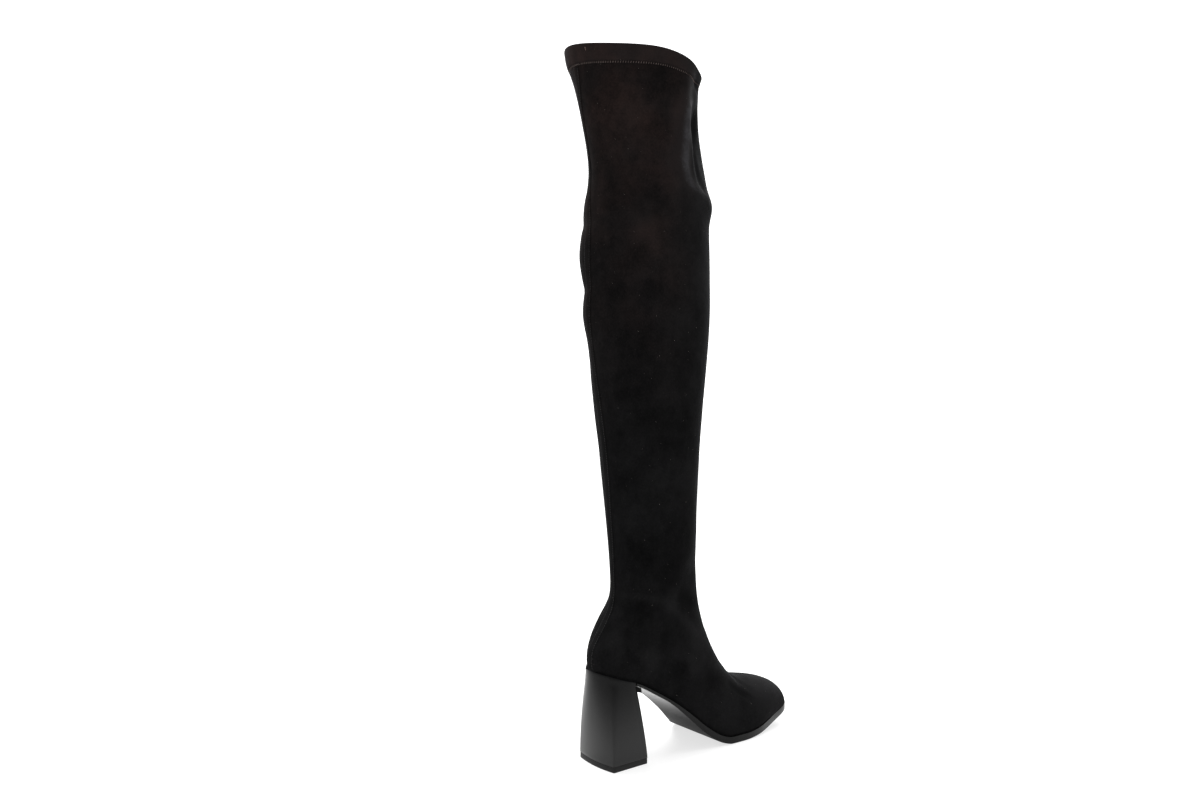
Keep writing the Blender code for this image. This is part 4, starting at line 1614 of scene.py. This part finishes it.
@dataclass
class Heel:
    """The flared block heel with its lip under the sole's end, and the lift that it stands on."""

    last: Last
    lift_height: float = 5.0
    lift_inset: float = 0.2
    tread_front: float = 20.8
    tread_back: float = -21.8
    tread_width: float = 52.0
    tread_bulge: float = 3.3
    breast: float = 7.0
    breast_flare: float = 1.25
    breast_facing: float = 0.6
    back_flare: float = 2.5
    lip_length: float = 6.0
    lip_depth: float = 5.0
    lip_foot: float = 5.5
    lip_margin: float = 1.0  # how far in front of the breast a face counts as the lip's
    plain_depth: float = 10.0
    levels: int = 26
    side_steps: int = 14
    corner_steps: int = 5
    corner_radius: float = 1.2
    back_steps: int = 18
    edge_round: float = 0.35
    edge_segments: int = 2
    edge_angle: float = 50.0  # degrees past which an edge is rounded

    def tread(self, inset: float) -> np.ndarray:
        """Half of the tread's outline in plan, from the breast's corner to the middle of the curved back.

        Args:
            inset: How far the outline is moved inwards.

        Returns:
            X and Y of each point, with a rounded corner between the side and the back.
        """
        front = self.tread_front - inset
        back = self.tread_back + inset
        half = self.tread_width / 2 - inset
        radius = (half**2 + self.tread_bulge**2) / (2 * self.tread_bulge)
        centre = back + radius
        small = self.corner_radius
        reach = math.sqrt((radius - small) ** 2 - (half - small) ** 2)
        corner = np.array((centre - reach, half - small))
        sweep = math.asin((half - small) / (radius - small))
        side = np.column_stack((np.linspace(front, corner[0], self.side_steps + 1),
                                np.full(self.side_steps + 1, half)))
        turns = np.linspace(math.pi / 2, sweep, self.corner_steps + 1)[1:]
        fillet = corner + small * np.column_stack((-np.cos(turns), np.sin(turns)))
        turns = np.linspace(sweep, 0, self.back_steps + 1)[1:]
        curve = np.array((centre, 0)) + radius * np.column_stack((-np.cos(turns), np.sin(turns)))
        return np.concatenate((side, fillet, curve))

    def seat(self, side: Side) -> np.ndarray:
        """Half of the heel's top in plan, under the feather edge.

        Args:
            side: Which side of the foot.

        Returns:
            X and Y of each point, as many as the tread's outline has.
        """
        steps = self.side_steps + self.corner_steps + self.back_steps
        quarter = np.linspace(0, math.pi / 2, steps + 1)
        stations = self.breast - (self.breast - self.last.heel_back) * np.sin(quarter)
        return np.column_stack((stations, self.last.half_width(stations, side)))

    def block(self) -> bpy.types.Object:
        """Makes the block: round at the seat, flat-sided with a curved back at the tread, a lip in front.

        Returns:
            The piece.
        """
        height = float(self.last.sole_underside(self.breast))
        under, seat = self.under_sole, self.last.feather_height
        plain = [(down, 0.0, under) for down in np.linspace(1, self.plain_depth / height, self.levels)]
        step = [(self.lip_foot / height, 0.0, under), (self.lip_depth / height, self.lip_length, under)]
        top = [(0.0, self.lip_length, under), (0.0, 0.0, under), (0.0, 0.0, seat)]
        bm = loft_mesh(self.rings([*plain, *step, *top]))
        for face in bm.faces:
            middle = face.calc_center_median()
            lip = middle.x > self.breast + self.lip_margin and middle.z > height - self.plain_depth
            face.material_index = int(lip or face.normal.x > self.breast_facing)
        soften_edges(bm, self.edge_angle, self.edge_round, self.edge_segments)
        materials = (LACQUER.material(), HEEL_BREAST.material())
        return piece_of("lacquered_heel", bm, materials, "heel_lacquer", "heel_block")

    def under_sole(self, x: float) -> np.ndarray:
        """Height of what carries the sole at x."""
        return self.last.sole_underside(x) - self.last.gap

    def rings(self, levels: Sequence[tuple[float, float, HeightCurve]]) -> np.ndarray:
        """Rings up the heel from front to back.

        Args:
            levels: The share of the way down of each level, how far the breast stands forward there, and
                the height that it goes down from.

        Returns:
            Points by ring and by place round it.
        """
        tread = self.tread(0.0)
        rings = []
        for station in range(-1, len(tread)):
            place = max(station, 0)
            flare = self.breast_flare + (self.back_flare - self.breast_flare) * place / (len(tread) - 1)
            ring = []
            for side, order in ((Side.OUTER, levels), (Side.INNER, levels[::-1])):
                seat = self.seat(side)[place]
                for down, forward, top_height in order:
                    top = seat + ((forward, 0) if station <= 0 else (0, 0))
                    x, y = top + (tread[place] - top) * (1 - (1 - down) ** flare)
                    high = float(top_height(top[0]))
                    low = self.lift_height + self.last.gap
                    ring.append((x, 0.0 if station < 0 else side.value * y, high + (low - high) * down))
            rings.append(ring)
        return np.array(rings)

    def lift(self) -> bpy.types.Object:
        """Makes the wear piece under the block.

        Returns:
            The piece.
        """
        half = self.tread(self.lift_inset)
        half = np.concatenate((half[:1] * (1, 0), half))
        x, y = half[:, 0], half[:, 1]
        low, high = np.zeros(len(half)), np.full(len(half), self.lift_height)
        corners = ((x, -y, low), (x, -y, high), (x, y, high), (x, y, low))
        bm = loft_mesh(np.stack([np.column_stack(corner) for corner in corners], axis=1))
        soften_edges(bm, self.edge_angle, self.edge_round, self.edge_segments)
        return piece_of("heel_wear_piece", bm, (LIFT_RUBBER.material(),), "heel_rubber", "heel_lift")


@dataclass(frozen=True)
class Lamp:
    """A soft area light."""

    name: str
    place: Triple
    aim: Triple
    size: tuple[float, float]
    power: float

    def hang(self) -> None:
        """Puts the light into the scene."""
        light = bpy.data.lights.new(self.name, "AREA")
        light.shape = "RECTANGLE"
        light.size, light.size_y = self.size
        light.energy = self.power
        lamp = bpy.data.objects.new(self.name, light)
        lamp.location = self.place
        lamp.rotation_euler = (Vector(self.aim) - Vector(self.place)).to_track_quat("-Z", "Y").to_euler()
        bpy.context.scene.collection.objects.link(lamp)


@dataclass
class Studio:
    """White floor and surroundings, soft lights, and the camera behind the outer side of the boot."""

    eye: Triple = (-0.547, -0.694, 0.335)
    turn: float = -37.5  # degrees from looking along +Y
    focal_pixels: float = 950.0
    frame_pixels: float = 1200.0
    sensor: float = 36.0
    floor_size: float = 80.0
    wall_size: float = 16.0
    wall_distance: float = 5.0
    surroundings: float = 0.55
    lamps: tuple[Lamp, ...] = (
        Lamp("overhead", (0.3, 0.1, 2.0), (0.05, 0.0, 0.0), (1.4, 1.4), 34.0),
        Lamp("right", (1.1, 0.35, 1.5), (0.05, 0.0, 0.45), (0.7, 1.0), 14.0),
        Lamp("behind", (0.0, 0.7, 1.3), (0.0, 0.45, 0.0), (0.7, 0.7), 16.0),
    )

    def build(self) -> None:
        """Makes the floor, the wall, the surroundings, the lights and the camera."""
        bpy.context.scene.view_settings.view_transform = "Standard"
        facing = Matrix.Rotation(math.radians(self.turn), 4, "Z")
        upright = Matrix.Rotation(math.radians(90), 4, "X")
        behind = facing @ Matrix.Translation((0.0, self.wall_distance, 0.0))
        self.paper("floor", Matrix.Identity(4), self.floor_size, FLOOR_PAPER)
        self.paper("wall", behind @ upright, self.wall_size, WALL_PAPER)
        self.surround()
        for lamp in self.lamps:
            lamp.hang()
        self.aim_camera()

    def surround(self) -> None:
        """Puts plain white surroundings round the scene."""
        world = bpy.data.worlds.new("white_surroundings")
        world.use_nodes = True
        background = world.node_tree.nodes["Background"]
        background.inputs["Color"].default_value = (1.0, 1.0, 1.0, 1.0)
        background.inputs["Strength"].default_value = self.surroundings
        bpy.context.scene.world = world

    def aim_camera(self) -> None:
        """Puts the camera where the photograph was taken from."""
        lens = bpy.data.cameras.new("camera")
        lens.sensor_width = self.sensor
        lens.lens = self.focal_pixels * self.sensor / self.frame_pixels
        camera = bpy.data.objects.new("camera", lens)
        camera.location = self.eye
        camera.rotation_euler = (math.radians(90), 0.0, math.radians(self.turn))
        bpy.context.scene.collection.objects.link(camera)
        bpy.context.scene.camera = camera

    def paper(self, name: str, place: Matrix, size: float, finish: PalePaper) -> None:
        """Puts up one square sheet of white paper.

        Args:
            name: The sheet's name.
            place: Its place and turn.
            size: Length of its sides in metres.
            finish: Its finish.
        """
        bm = bmesh.new()
        bmesh.ops.create_grid(bm, x_segments=1, y_segments=1, size=size / 2, matrix=place)
        mesh = bpy.data.meshes.new(name)
        bm.to_mesh(mesh)
        bm.free()
        mesh.materials.append(finish.material())
        sheet = bpy.data.objects.new(name, mesh)
        bpy.context.scene.collection.objects.link(sheet)


def main() -> None:
    """Builds the boot's pieces in order, and reports each."""
    logging.basicConfig(level=logging.INFO, format="%(name)s: %(message)s")
    LOG.info("dressing %d packed nodes", len(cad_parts))
    Studio().build()
    last = Last()
    upper = Upper(last)
    soles = SoleSet(last)
    heel = Heel(last)
    pieces = [upper.build(), *HemSewing(upper).build(), *BackStrip(upper).build()]
    pieces += [soles.outsole(), soles.insole(), heel.block(), heel.lift()]
    for piece in pieces:
        LOG.info("%s: %d faces", piece.name, len(piece.data.polygons))


if __name__ == "__main__":
    main()
